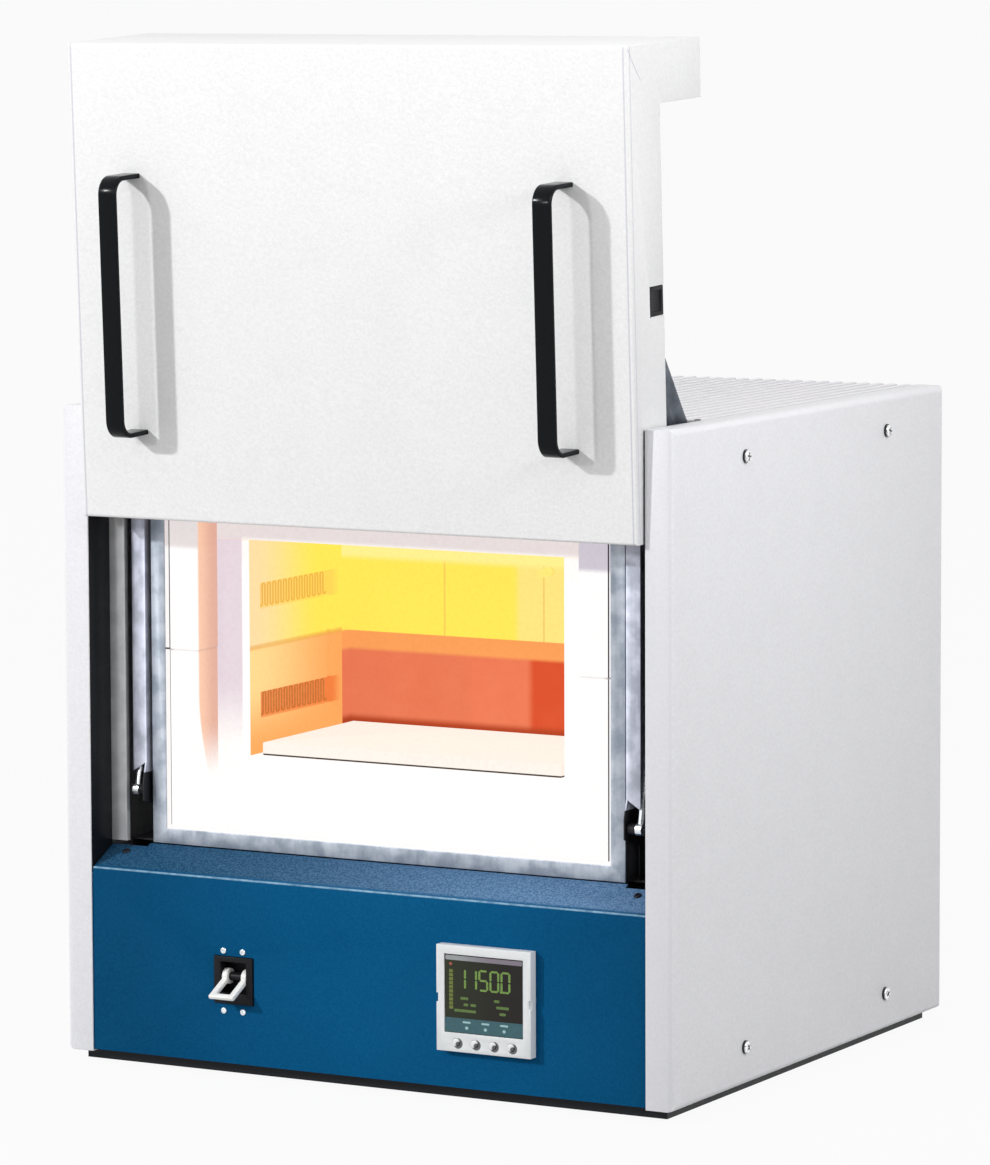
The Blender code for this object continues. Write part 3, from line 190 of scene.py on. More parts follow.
for name, place, target, size, power, spread in (
        ("key_lamp", (-3.41, -4.72, 2.87), DOOR_FRONT, 0.235, 178.0, 180),
        ("fill_lamp", (-0.73, -2.72, 1.3), DOOR_FRONT, 0.2, 10.0, 180),
        ("side_lamp", (1.9, -0.5, 1.35), (0.3, -0.1, 0.8), 0.5, 5.3, 100),
        ("top_lamp", (0, 0.3, 2.9), (0, 0.1, 0.9), 0.6, 6.0, 180)):
    lamp = bpy.data.lights.new(name, "AREA")
    lamp.energy = power
    lamp.shape = "SQUARE"
    lamp.size = size
    lamp.spread = math.radians(spread)
    holder = bpy.data.objects.new(name, lamp)
    bpy.context.scene.collection.objects.link(holder)
    holder.visible_camera = False
    aim = (Vector(target) - Vector(place)).to_track_quat("-Z", "Y").to_matrix().to_4x4()
    holder.matrix_world = Matrix.Translation(place) @ aim


# The plinth is a pressed steel pan in black enamel, set back under the cabinet. It stands on four moulded
# rubber feet that are screwed to its underside.
def finish(name, colour, roughness, metallic=0.0, gloss=0.5, **uniform):
    """A new material with its shader and the wire of its Object coordinates."""
    material = bpy.data.materials.new(name)
    material.use_nodes = True
    tree = material.node_tree
    shader = tree.nodes["Principled BSDF"]
    shader.inputs["Base Color"].default_value = (*colour, 1)
    shader.inputs["Roughness"].default_value = roughness
    shader.inputs["Metallic"].default_value = metallic
    shader.inputs["Specular IOR Level"].default_value = gloss
    for socket, value in uniform.items():
        shader.inputs[socket].default_value = value
    return material, shader, Wire(tree.nodes.new("ShaderNodeTexCoord").outputs["Object"])


def feed(shader, socket, wire):
    """Joins a wire to one socket of the shader."""
    shader.id_data.links.new(wire.socket, shader.inputs[socket])


def bumps(shader, height, strength, distance):
    """Lets a height stand out of the surface by up to a distance in metres."""
    feed(shader, "Normal", height.node("ShaderNodeBump", {}, {"Height": height, "Strength": strength,
                                                              "Distance": distance}))


def enamel(name, colour, roughness, grain, peel, gloss=0.5, seams=None):
    """Stoved enamel: fine speckle in the colour and the orange peel of sprayed paint, marked by seams()."""
    material, shader, place = finish(name, colour, roughness, gloss=gloss)
    speckle = place.noise(340.0, 3.0, 0.75).slope(0.3, 0.7)
    clouds = place.noise(26.0, 3.0, 0.6).slope(0.25, 0.75)
    darker = tuple(part * (1 - grain) for part in colour)
    lighter = tuple(min(1.0, part * (1 + grain)) for part in colour)
    tone = (speckle * 0.8 + clouds * 0.2).blend(darker, lighter)
    feed(shader, "Base Color", seams(place, tone) if seams else tone)
    feed(shader, "Roughness", (place.noise(90.0) - 0.5) * 0.2 + roughness)
    bumps(shader, place.noise(230.0, 2.0, 0.55) + place.noise(700.0, 1.0) * 0.35, peel, 0.0006)
    return material


def dress(piece, material):
    """Gives a piece one material all over."""
    piece.data.materials.clear()
    piece.data.materials.append(material)


black_enamel = enamel("black_enamel_paint", (0.007, 0.009, 0.012), 0.38, 0.3, 0.25, gloss=0.18)
rubber, rubber_shader, rubber_place = finish("foot_rubber", (0.02, 0.02, 0.021), 0.75, gloss=0.2)
rubber_tone = rubber_place.noise(350.0).blend((0.014, 0.014, 0.015), (0.035, 0.034, 0.033))
feed(rubber_shader, "Base Color", rubber_tone)
bumps(rubber_shader, rubber_place.noise(700.0), 0.3, 0.0004)
dress(cad["base_pan"], black_enamel)
for row in ("front", "rear"):
    for side in ("left", "right"):
        dress(cad[f"foot_{row}_{side}"], rubber)


# Each side panel is a tray of folded sheet steel in white stoved enamel. Four pan-head screws hold it to
# the chassis, and its front flange frames the door bay.
def from_cad(node, name):
    """An own copy of a CAD piece with its loose triangles merged back into flat faces."""
    piece = bpy.data.objects.new(name, cad[node].data.copy())
    bpy.context.scene.collection.objects.link(piece)
    open_up(piece)
    bpy.ops.mesh.select_all(action="SELECT")
    bpy.ops.mesh.remove_doubles(threshold=0.00001)
    bpy.ops.mesh.dissolve_limited(angle_limit=math.radians(0.5))
    return piece


def open_up(piece):
    """Makes a piece the only selected one and opens it for editing."""
    bpy.ops.object.select_all(action="DESELECT")
    bpy.context.view_layer.objects.active = piece
    piece.select_set(True)
    bpy.ops.object.mode_set(mode="EDIT")


def middle(part):
    """The middle of an edge or a face of the piece being edited."""
    corners = part.verts
    return sum((corner.co for corner in corners), Vector()) / len(corners)


def pick(kind, wanted):
    """Selects the vertices, edges or faces that a test wants, in the piece being edited."""
    bpy.ops.mesh.select_mode(type=kind)
    bpy.ops.mesh.select_all(action="DESELECT")
    mesh = bpy.context.edit_object.data
    shape = bmesh.from_edit_mesh(mesh)
    parts = {"VERT": shape.verts, "EDGE": shape.edges, "FACE": shape.faces}[kind]
    for part in parts:
        if wanted(part):
            part.select_set(True)
    shape.select_flush_mode()
    bmesh.update_edit_mesh(mesh)


def close_up(piece, edge, steps=3, angle=30.0):
    """Ends the editing of a piece and rounds its corners by a radius."""
    bpy.ops.object.mode_set(mode="OBJECT")
    if edge:
        rounding = piece.modifiers.new("rounding", "BEVEL")
        rounding.width = edge
        rounding.segments = steps
        rounding.limit_method = "ANGLE"
        rounding.angle_limit = math.radians(angle)
        rounding.use_clamp_overlap = True
        bpy.ops.object.modifier_apply(modifier=rounding.name)
    bpy.ops.object.shade_smooth_by_angle(angle=math.radians(angle))


def at(measure, level):
    """Whether a measure lies at a level."""
    return abs(measure - level) < 0.0001


def stands_for(piece, material, body, slot, *nodes):
    """Finishes a piece and lets it ride on its body in the place of CAD nodes."""
    dress(piece, material)
    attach(piece, body)
    if nodes:
        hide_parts(*nodes)


# Painted cool shade: the white of the side, top and rear panels has a faint blue cast that the door's white
# (DOOR_WHITE) leaves out.
WHITE = (0.845, 0.845, 0.878)
FOLD_RADIUS = 0.0028
SHEET_EDGE = 0.0005
LONG_EDGE = 0.1
SIDE_SCREW_DEPTHS = (0.1394, 0.4354)
SIDE_SCREW_HEIGHTS = (0.0351, 0.5678)
SIDE_SCREW_RADIUS, SIDE_SCREW_RISE = 0.0062, 0.004
front_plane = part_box("side_panel_right")[0].y
panel_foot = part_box("side_panel_right")[0].z
outer_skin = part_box("side_panel_right")[1].x


def facing(place, plane):
    """1 on a sheet's surface in a front plane, and 0 behind it."""
    return 1 - place.along("Y").slope(plane + 0.0006, plane + 0.002)


def painted_flange_shade(place, tone):
    """Painted shade on the front flanges, deeper on the right one than the left, where the light falls off.
    """
    share = place.along("X").slope(0.2, 0.25) * 0.32 + 0.2
    return (facing(place, front_plane) * share).blend(tone, (0.61, 0.61, 0.64))


white_enamel = enamel("white_enamel_paint", WHITE, 0.42, 0.05, 0.35, seams=painted_flange_shade)
for label, side in (("left", -1), ("right", 1)):
    low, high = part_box(f"side_panel_{label}")
    outer = max(low.x * side, high.x * side) * side
    panel = from_cad(f"side_panel_{label}", f"side_sheet_{label}")
    pick("EDGE", lambda edge: at(middle(edge).x, outer) and at(middle(edge).y, front_plane)
         and abs(edge.verts[0].co.z - edge.verts[1].co.z) > LONG_EDGE)
    bpy.ops.mesh.bevel(offset=FOLD_RADIUS, segments=5, profile=0.5, affect="EDGES")
    close_up(panel, SHEET_EDGE)
    stands_for(panel, white_enamel, "cabinet", "white_enamel", f"side_panel_{label}")


def bright_metal(name, dark, light):
    """Turned or plated steel with fine uneven polish."""
    material, shader, place = finish(name, light, 0.28, 1.0)
    feed(shader, "Roughness", place.noise(900.0) * 0.25 + 0.16)
    feed(shader, "Base Color", place.noise(500.0).blend(dark, light))
    return material


steel_zinc = bright_metal("screw_steel", (0.62, 0.66, 0.7), (0.9, 0.94, 0.96))
# The side screws' dark steel has a painted highlight on the crown of each dome.
screw_steel_highlit, screw_highlight_shader, screw_highlight_place = finish("screw_steel_painted_highlight", (0.3, 0.3, 0.31), 0.25, 1.0)
crown = abs(screw_highlight_place.along("X")).slope(outer_skin + 0.0016, outer_skin + 0.0036)
crown_highlight = crown * screw_highlight_place.noise(500.0).slope(0.2, 0.5)
feed(screw_highlight_shader, "Base Color", crown_highlight.blend((0.04, 0.04, 0.045), (0.95, 0.95, 0.97)))
feed(screw_highlight_shader, "Roughness", screw_highlight_place.noise(900.0) * 0.25 + 0.12)


# A screw head's rounding and the cross in it, as shares of the head's height and radius.
HEAD_ROUNDING = 0.85
CROSS_LENGTH, CROSS_WIDTH, CROSS_HEIGHT = 1.15, 0.24, 0.9


def pan_screw(name, radius, rise):
    """A pan-head screw's head with a cross recess, at the origin, facing up."""
    head = blank(name, bpy.ops.mesh.primitive_cylinder_add, vertices=32, radius=radius, depth=rise,
                 location=(0, 0, rise / 2))
    open_up(head)
    pick("EDGE", lambda edge: all(abs(corner.co.z - rise) < rise * 0.01 for corner in edge.verts))
    bpy.ops.mesh.bevel(offset=rise * HEAD_ROUNDING, segments=5, profile=0.6, affect="EDGES")
    close_up(head, 0)
    for turn in (0, math.pi / 2):
        bar = blank("cross_bar", bpy.ops.mesh.primitive_cube_add,
                    (radius * CROSS_LENGTH, radius * CROSS_WIDTH, rise * CROSS_HEIGHT),
                    size=1, location=(0, 0, rise), rotation=(0, 0, turn))
        recess = head.modifiers.new("recess", "BOOLEAN")
        recess.object = bar
        bpy.context.view_layer.objects.active = head
        bpy.ops.object.modifier_apply(modifier=recess.name)
        bpy.data.objects.remove(bar)
    return head


def fix_screws(master, label, places, outward, turn, material, slot):
    """Sets copies of a screw head on the cabinet, each with its own mesh, and takes the master away."""
    aim = Vector(outward).to_track_quat("Z", "Y").to_matrix().to_4x4()
    for index, place in enumerate(places):
        screw = bpy.data.objects.new(f"{label}_{index + 1}", master.data.copy())
        bpy.context.scene.collection.objects.link(screw)
        spin = Matrix.Rotation(turn * (index + 1), 4, "Z")
        screw.data.transform(Matrix.Translation(place) @ aim @ spin)
        bpy.ops.object.select_all(action="DESELECT")
        bpy.context.view_layer.objects.active = screw
        screw.select_set(True)
        bpy.ops.object.shade_smooth_by_angle(angle=math.radians(30))
        stands_for(screw, material, "cabinet", slot)
    bpy.data.objects.remove(master)


for label, side in (("left", -1), ("right", 1)):
    places = [(outer_skin * side, front_plane + depth, panel_foot + height)
              for depth in SIDE_SCREW_DEPTHS for height in SIDE_SCREW_HEIGHTS]
    fix_screws(pan_screw("side_screw", SIDE_SCREW_RADIUS, SIDE_SCREW_RISE), f"side_screw_{label}", places,
               (side, 0, 0), 0.7, screw_steel_highlit, "bright_steel")


# The top panel is one sheet of white enamelled steel with fine pressed ribs that run to the rear, and the
# rear panel is a louvred one. Both are screwed to the side panels' flanges.
REAR_SCREW_INSET = 0.012
REAR_SCREW_HEIGHTS = (0.045, 0.3, 0.578)
REAR_SCREW_RADIUS, REAR_SCREW_RISE = 0.0042, 0.0016
RIB_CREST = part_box("top_panel")[1].z


def painted_rib_shade(place, tone):
    """Painted shade on the ribs' flanks, below their crests."""
    below = place.along("Z").slope(RIB_CREST - 0.0007, RIB_CREST - 0.0002) * -0.5 + 0.5
    return below.blend(tone, (0.42, 0.38, 0.39))


dress(cad["top_panel"], enamel("top_enamel_paint", WHITE, 0.42, 0.06, 0.4, seams=painted_rib_shade))
dress(cad["rear_panel"], white_enamel)
rear_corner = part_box("rear_panel")[1]
places = [(side * (rear_corner.x - REAR_SCREW_INSET), rear_corner.y, height)
          for side in (-1, 1) for height in REAR_SCREW_HEIGHTS]
fix_screws(pan_screw("rear_screw", REAR_SCREW_RADIUS, REAR_SCREW_RISE), "rear_screw", places,
           (0, 1, 0), 0.5, steel_zinc, "bright_steel")

# The cable gland is a moulded nylon fitting with a hexagonal nut and a domed cap. It is clamped through a
# hole in the rear panel.
nylon, nylon_shader, nylon_place = finish("gland_nylon", (0.022, 0.022, 0.024), 0.5, gloss=0.3)
feed(nylon_shader, "Roughness", nylon_place.noise(600.0) * 0.2 + 0.4)
feed(nylon_shader, "Base Color", nylon_place.noise(300.0).blend((0.017, 0.017, 0.019), (0.03, 0.03, 0.032)))
gland = from_cad("cable_gland", "gland_fitting")
close_up(gland, 0.0006)
stands_for(gland, nylon, "cabinet", "rubber", "cable_gland")

# The control panel is folded from one sheet of steel in blue hammered enamel: a plain face, a pale fold of
# worn enamel and painted highlight, and a sill that slopes back to the chamber. Two dark screws hold the
# sill.
BLUE = (0.003, 0.092, 0.235)
PALE_BLUE = (0.3, 0.5, 0.66)
FOLD_HEIGHT = 0.1846
SILL_SCREW_X = 0.267
SILL_SCREW_DEPTH = 0.027
SILL_SCREW_RADIUS, SILL_SCREW_RISE = 0.0036, 0.0018
panel_low, panel_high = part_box("control_panel")
blue_enamel, blue_shader, blue_place = finish("blue_enamel_paint", BLUE, 0.45, gloss=0.03)
grains = blue_place.noise(520.0, 3.0, 0.65)
# The fold is painted pale: worn enamel with a painted highlight along it.
fold = 1 - abs(blue_place.along("Z") - FOLD_HEIGHT).slope(0.0003, 0.0014)
fold_wear_and_highlight = (fold * facing(blue_place, panel_low.y) * (blue_place.noise(160.0, 3.0) * 1.3)).clamped()
sill = blue_place.along("Z").slope(FOLD_HEIGHT + 0.0005, FOLD_HEIGHT + 0.003)
face_tone = grains.slope(0.3, 0.7) * 0.7 + blue_place.noise(9.0, 1.0).slope(0.3, 0.7) * 0.3
# The face is painted darker towards both ends, as shade where the light falls off from its middle.
face_middle = face_tone.blend((0.0012, 0.077, 0.198), (0.003, 0.1, 0.243))
face_ends_shaded = face_tone.blend((0.001, 0.055, 0.14), (0.0025, 0.074, 0.182))
face_colour = abs(blue_place.along("X") - 0.03).slope(0.08, 0.3).blend(face_middle, face_ends_shaded)
# The sill is painted lighter from left to right, as reflection on its upward slope.
sill_grains = grains.slope(0.35, 0.65)
sill_left_shaded = sill_grains.blend((0.009, 0.048, 0.11), (0.034, 0.115, 0.22))
sill_right_lit = sill_grains.blend((0.062, 0.155, 0.305), (0.168, 0.298, 0.5))
sill_colour = blue_place.along("X").slope(-0.2, 0.25).blend(sill_left_shaded, sill_right_lit)
colour = sill.blend(face_colour, sill_colour)
feed(blue_shader, "Base Color", fold_wear_and_highlight.blend(colour, PALE_BLUE))
feed(blue_shader, "Roughness", blue_place.noise(300.0) * 0.25 + 0.32)
bumps(blue_shader, grains + blue_place.noise(240.0), 0.28, 0.0006)
panel = from_cad("control_panel", "control_sheet")
close_up(panel, 0.0008, angle=20.0)
stands_for(panel, blue_enamel, "cabinet", "blue_enamel", "control_panel")

climb = Vector((0, panel_high.y - panel_low.y, panel_high.z - FOLD_HEIGHT)).normalized()
sill_outward = Vector((0, -climb.z, climb.y))
share = (SILL_SCREW_DEPTH + front_plane - panel_low.y) / (panel_high.y - panel_low.y)
sill_z = FOLD_HEIGHT + share * (panel_high.z - FOLD_HEIGHT)
dark_head, dark_shader, dark_place = finish("black_screw", (0.01, 0.012, 0.02), 0.35, 0.3, 0.3)
feed(dark_shader, "Roughness", dark_place.noise(800.0) * 0.3 + 0.2)
places = [(side * SILL_SCREW_X, front_plane + SILL_SCREW_DEPTH, sill_z) for side in (-1, 1)]
fix_screws(pan_screw("sill_screw", SILL_SCREW_RADIUS, SILL_SCREW_RISE), "sill_screw", places,
           sill_outward, 0.6, dark_head, "black_enamel")


# The temperature controller is a moulded instrument that clips into the panel. It has a pale grey bezel, a
# dark display behind glass, and four round keys below it.
def centre(node):
    """The middle of a CAD piece's box."""
    low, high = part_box(node)
    return (low + high) / 2


def key_shadows(place, tone, across, down, radius):
    """A painted shadow at each key, a little to its right and below its middle."""
    flat = place.stretched((1, 0, 1))
    for number in range(1, 5):
        key_middle = centre(f"controller_key_{number}")
        spot = (key_middle.x + across, 0, key_middle.z - down)
        reach = flat.node("ShaderNodeVectorMath", {"operation": "DISTANCE"}, {0: flat, 1: spot}, 1)
        tone = ((1 - reach.slope(radius - 0.0004, radius + 0.0004)) * 0.92).blend(tone, (0.03, 0.03, 0.035))
    return tone


pale_plastic, plastic_shader, plastic_place = finish("bezel_plastic", (0.74, 0.76, 0.77), 0.38)
tone = plastic_place.noise(260.0).blend((0.71, 0.735, 0.745), (0.8, 0.815, 0.825))
feed(plastic_shader, "Base Color", key_shadows(plastic_place, tone, across=0.0018, down=0.0009, radius=0.0047))
bumps(plastic_shader, plastic_place.noise(1500.0), 0.15, 0.0002)
bezel = from_cad("controller_bezel", "controller_frame")
close_up(bezel, 0.0009, angle=40.0)
stands_for(bezel, pale_plastic, "cabinet", "instrument_grey", "controller_bezel")
dress(cad["controller_case"], pale_plastic)
key_plastic, key_shader, key_place = finish("key_plastic", (0.8, 0.81, 0.82), 0.3)
tone = key_place.noise(700.0).blend((0.76, 0.77, 0.78), (0.84, 0.85, 0.86))
feed(key_shader, "Base Color", key_shadows(key_place, tone, across=0.0026, down=0.0016, radius=0.0027))
for number in range(1, 5):
    key = from_cad(f"controller_key_{number}", f"round_key_{number}")
    close_up(key, 0.0011, 4, 40.0)
    stands_for(key, key_plastic, f"key_{number}", "instrument_grey", f"controller_key_{number}")
dark_glass, glass_shader, glass_place = finish("display_glass", (0.012, 0.014, 0.01), 0.12, gloss=0.25)
glass_middle = centre("controller_window").x
tint = glass_place.along("X").slope(glass_middle - 0.035, glass_middle + 0.03)
feed(glass_shader, "Base Color", tint.blend((0.02, 0.026, 0.012), (0.013, 0.01, 0.008)))
feed(glass_shader, "Roughness", glass_place.noise(40.0) * 0.1 + 0.08)
dress(cad["controller_window"], dark_glass)


LIT = {"Emission Strength": 1.0}


def light_mark(name, colour):
    """The lit liquid crystal of one colour, a little uneven."""
    material, shader, place = finish(name, (0.01, 0.012, 0.01), 0.3, gloss=0.2, **LIT)
    dim = tuple(part * 0.6 for part in colour)
    feed(shader, "Emission Color", place.noise(900.0, 1.0).slope(0.3, 0.7).blend(dim, colour))
    return material


window_low, window_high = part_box("controller_window")
MARK_RISE = 0.00012


def tile(name, left, right, low, high, corner_cut):
    """A thin tile on the display glass with its corners cut off. Places are shares of the glass."""
    span = window_high - window_low
    x0, x1 = window_low.x + span.x * left, window_low.x + span.x * right
    z0, z1 = window_low.z + span.z * low, window_low.z + span.z * high
    piece = blank(name, bpy.ops.mesh.primitive_plane_add, (x1 - x0, z1 - z0, 1), size=1,
                  location=((x0 + x1) / 2, window_low.y, (z0 + z1) / 2), rotation=(math.pi / 2, 0, 0))
    open_up(piece)
    pick("VERT", lambda corner: True)
    bpy.ops.mesh.bevel(offset=corner_cut, segments=1, affect="VERTICES")
    pick("FACE", lambda face: True)
    bpy.ops.mesh.extrude_region_move(TRANSFORM_OT_translate={"value": (0, -MARK_RISE, 0)})
    bpy.ops.mesh.select_all(action="SELECT")
    bpy.ops.mesh.normals_make_consistent(inside=False)
    bpy.ops.object.mode_set(mode="OBJECT")
    return piece


def joined(name, parts):
    """Joins parts into one piece."""
    bpy.ops.object.select_all(action="DESELECT")
    for part in parts:
        part.select_set(True)
    bpy.context.view_layer.objects.active = parts[0]
    bpy.ops.object.join()
    parts[0].name = name
    return parts[0]


def on_glass(name, tiles, material):
    """Makes one piece of tiles on the display glass."""
    stands_for(joined(name, tiles), material, "cabinet", "dark_glass")


green = light_mark("green_figures", (0.19, 0.33, 0.07))
dim_green = light_mark("dim_figures", (0.12, 0.2, 0.05))
yellow_green = light_mark("bar_light", (0.16, 0.2, 0.04))
red_light = light_mark("red_lamp", (0.4, 0.09, 0.06))
strip_grey, strip_shader, strip_place = finish("label_strip", (0.22, 0.22, 0.25), 0.4)
strip_tone = strip_place.along("X").slope(0.1, 0.14).blend((0.3, 0.32, 0.33), (0.2, 0.17, 0.21))
feed(strip_shader, "Base Color", strip_tone)
teal, teal_shader, teal_place = finish("legend_band", (0.02, 0.08, 0.1), 0.35)
feed(teal_shader, "Base Color", teal_place.noise(300.0).blend((0.018, 0.07, 0.09), (0.035, 0.12, 0.14)))
pale_ink, ink_shader, ink_place = finish("pale_ink", (0.3, 0.5, 0.52), 0.5)
feed(ink_shader, "Base Color", ink_place.noise(900.0).blend((0.24, 0.42, 0.45), (0.4, 0.6, 0.62)))

# The segments that each figure lights: a is the top one, b and c are at the right, d is the bottom one, e
# and f are at the left, and g is in the middle. Places on the display are shares of the glass.
SEGMENTS = {"0": "abcdef", "1": "bc", "5": "afgcd"}
FIGURES = "11500"
FIGURE_LEFT, FIGURE_PITCH, FIGURE_WIDTH = 0.16, 0.142, 0.1
FIGURE_LOW, FIGURE_HIGH, STROKE = 0.57, 0.82, 0.026
POINT_LEFT = FIGURE_LEFT + 3.85 * FIGURE_PITCH
DASH_ROWS = {0.43: ((0.2, 0.3), (0.63, 0.7)), 0.35: ((0.24, 0.3), (0.33, 0.4), (0.66, 0.82)),
             0.27: ((0.12, 0.4), (0.7, 0.78))}
DASH_HEIGHT = 0.035
BAR_FOOT, BAR_PITCH, BAR_HEIGHT, BAR_STEPS = 0.3, 0.052, 0.042, 10
LEGEND_PITCH, LEGEND_MARKS = 0.24, 3


def figure(digit, left):
    """The lit segments of one figure."""
    right = left + FIGURE_WIDTH
    waist = (FIGURE_LOW + FIGURE_HIGH) / 2
    gap = STROKE * 0.2
    level = {"a": FIGURE_HIGH, "g": waist, "d": FIGURE_LOW}
    made = []
    for letter in SEGMENTS[digit]:
        if letter in level:
            z = level[letter]
            made.append(tile("segment", left + gap, right - gap, z - STROKE / 2, z + STROKE / 2, 0.0007))
        else:
            x = right if letter in "bc" else left
            low, high = (waist, FIGURE_HIGH) if letter in "bf" else (FIGURE_LOW, waist)
            made.append(tile("segment", x - STROKE / 2, x + STROKE / 2, low + gap, high - gap, 0.0007))
    return made


digits = []
for index, digit in enumerate(FIGURES):
    digits += figure(digit, FIGURE_LEFT + index * FIGURE_PITCH)
digits.append(tile("point", POINT_LEFT, POINT_LEFT + STROKE, FIGURE_LOW - STROKE / 2,
                   FIGURE_LOW + STROKE / 2, 0.0004))
on_glass("display_figures", digits, green)
dashes = [tile("dash", left, right, low, low + DASH_HEIGHT, 0.0004)
          for low, row in DASH_ROWS.items() for left, right in row]
on_glass("display_rows", dashes, dim_green)
steps = [BAR_FOOT + step * BAR_PITCH for step in range(BAR_STEPS)]
bars = [tile("bar", 0.055, 0.105, low, low + BAR_HEIGHT, 0.0003) for low in steps]
on_glass("display_bar", bars, yellow_green)
on_glass("display_lamp", [tile("lamp", 0.055, 0.095, 0.86, 0.9, 0.001)], red_light)
on_glass("display_strip", [tile("strip", 0.01, 0.99, 0.93, 0.99, 0.0006)], strip_grey)
on_glass("display_band", [tile("band", 0.0, 1.0, 0.005, 0.19, 0.0006)], teal)
shifts = [step * LEGEND_PITCH for step in range(LEGEND_MARKS)]
marks = [tile("mark", 0.26 + shift, 0.3 + shift, 0.05, 0.09, 0.0009) for shift in shifts]
marks += [tile("mark", 0.23 + shift, 0.33 + shift, 0.13, 0.155, 0.0004) for shift in shifts]
for mark in marks:
    mark.data.transform(Matrix.Translation((0, -MARK_RISE, 0)))
on_glass("display_legend", marks, pale_ink)

# The main breaker is a black moulded block with two poles, held behind the panel by four bright screws. A
# white bar joins its two levers, which turn on a shaft.
black_plastic, dull_shader, dull_place = finish("breaker_plastic", (0.008, 0.008, 0.009), 0.42, gloss=0.15)
feed(dull_shader, "Base Color", dull_place.noise(500.0).blend((0.004, 0.004, 0.006), (0.01, 0.01, 0.012)))
bumps(dull_shader, dull_place.noise(1200.0), 0.2, 0.0002)
block = from_cad("breaker_body", "breaker_block")
close_up(block, 0.0005)
stands_for(block, black_plastic, "cabinet", "breaker_black", "breaker_body")
lever_white, lever_shader, lever_place = finish("lever_plastic", (0.86, 0.86, 0.84), 0.25)
feed(lever_shader, "Base Color", lever_place.noise(400.0).blend((0.84, 0.84, 0.82), (0.92, 0.92, 0.9)))
toggle_low, toggle_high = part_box("breaker_toggle")
TOGGLE_SPAN = toggle_high.x - toggle_low.x
HUB_PLACE = Vector((centre("breaker_toggle").x, -0.25378, 0.09355))
HUB_RADIUS = 0.0074
LEVER_WIDTH = 0.0062
LEVER_DROOP = math.radians(27)
LEVER_LENGTH = 0.0214
LEVER_ROOT = math.cos(math.radians(20))
BAR_THICKNESS = 0.0052
BREAKER_SCREW_X = (-0.1465, -0.126)
BREAKER_SCREW_Z = (0.118, 0.0625)
BREAKER_SCREW_RADIUS, BREAKER_SCREW_RISE = 0.003, 0.0016
lever = blank("toggle_levers", bpy.ops.mesh.primitive_cylinder_add, vertices=32, radius=HUB_RADIUS,
              depth=LEVER_WIDTH, location=(TOGGLE_SPAN / 2 - LEVER_WIDTH / 2, 0, 0),
              rotation=(0, math.pi / 2, 0))
open_up(lever)
reach = Vector((0, -math.cos(LEVER_DROOP), -math.sin(LEVER_DROOP)))
pick("FACE", lambda face: face.normal.dot(reach) > LEVER_ROOT)
bpy.ops.mesh.extrude_region_move(TRANSFORM_OT_translate={"value": reach * LEVER_LENGTH})
tip = HUB_RADIUS * LEVER_ROOT + LEVER_LENGTH
bpy.ops.mesh.extrude_region_move(TRANSFORM_OT_translate={"value": reach * BAR_THICKNESS})
pick("FACE", lambda face: face.normal.x < -0.9 and middle(face).dot(reach) > tip - 0.0005)
bpy.ops.mesh.extrude_region_move(TRANSFORM_OT_translate={"value": (-(TOGGLE_SPAN / 2 - LEVER_WIDTH), 0, 0)})
pick("FACE", lambda face: at(middle(face).x, 0))
bpy.ops.mesh.delete(type="FACE")
bpy.ops.object.mode_set(mode="OBJECT")
twin = lever.modifiers.new("twin", "MIRROR")
twin.use_clip = True
bpy.ops.object.modifier_apply(modifier=twin.name)
open_up(lever)
bpy.ops.mesh.select_all(action="SELECT")
bpy.ops.mesh.remove_doubles(threshold=0.00002)
bpy.ops.mesh.dissolve_limited(angle_limit=math.radians(1))
bpy.ops.mesh.normals_make_consistent(inside=False)
close_up(lever, 0.0011, angle=32.0)
lever.data.transform(Matrix.Translation(HUB_PLACE))
stands_for(lever, lever_white, "toggle", "toggle_white", "breaker_toggle")
shaft = blank("toggle_shaft", bpy.ops.mesh.primitive_cylinder_add, vertices=24, radius=HUB_RADIUS * 0.55,
              depth=TOGGLE_SPAN - LEVER_WIDTH, location=HUB_PLACE, rotation=(0, math.pi / 2, 0))
open_up(shaft)
close_up(shaft, 0.0004)
stands_for(shaft, black_plastic, "toggle", "toggle_white")
places = [(x, panel_low.y, z) for x in BREAKER_SCREW_X for z in BREAKER_SCREW_Z]
fix_screws(pan_screw("breaker_screw", BREAKER_SCREW_RADIUS, BREAKER_SCREW_RISE), "breaker_screw", places,
           (0, -1, 0), 0.8, steel_zinc, "bright_steel")


# The pockets beside the chamber hold the door's arms. A black jamb, its black partly painted shade of the
# pocket, a zinc-plated landing strip and a folded upright line each of them, all of sheet steel and
# spot-welded to the chassis.
def plated(name, dark, light, roughness, metallic=0.85, shade_height=0.0):
    """Zinc-plated sheet: clouds of a darker shade, faint upright streaks, and near-black painted shade below
    a height.
    """
    material, shader, place = finish(name, light, roughness, metallic)
    streaks = place.stretched((220.0, 220.0, 9.0)).noise(1.0, 3.0, 0.6)
    clouds = place.noise(60.0, 3.0)
    tone = (streaks * 0.2 + clouds * 0.8).slope(0.33, 0.67).blend(dark, light)
    shaded_below = place.along("Z").slope(shade_height - 0.0006, shade_height)
    feed(shader, "Base Color", shaded_below.blend((0.012, 0.012, 0.016), tone))
    feed(shader, "Roughness", streaks * 0.25 + (roughness - 0.12))
    return material
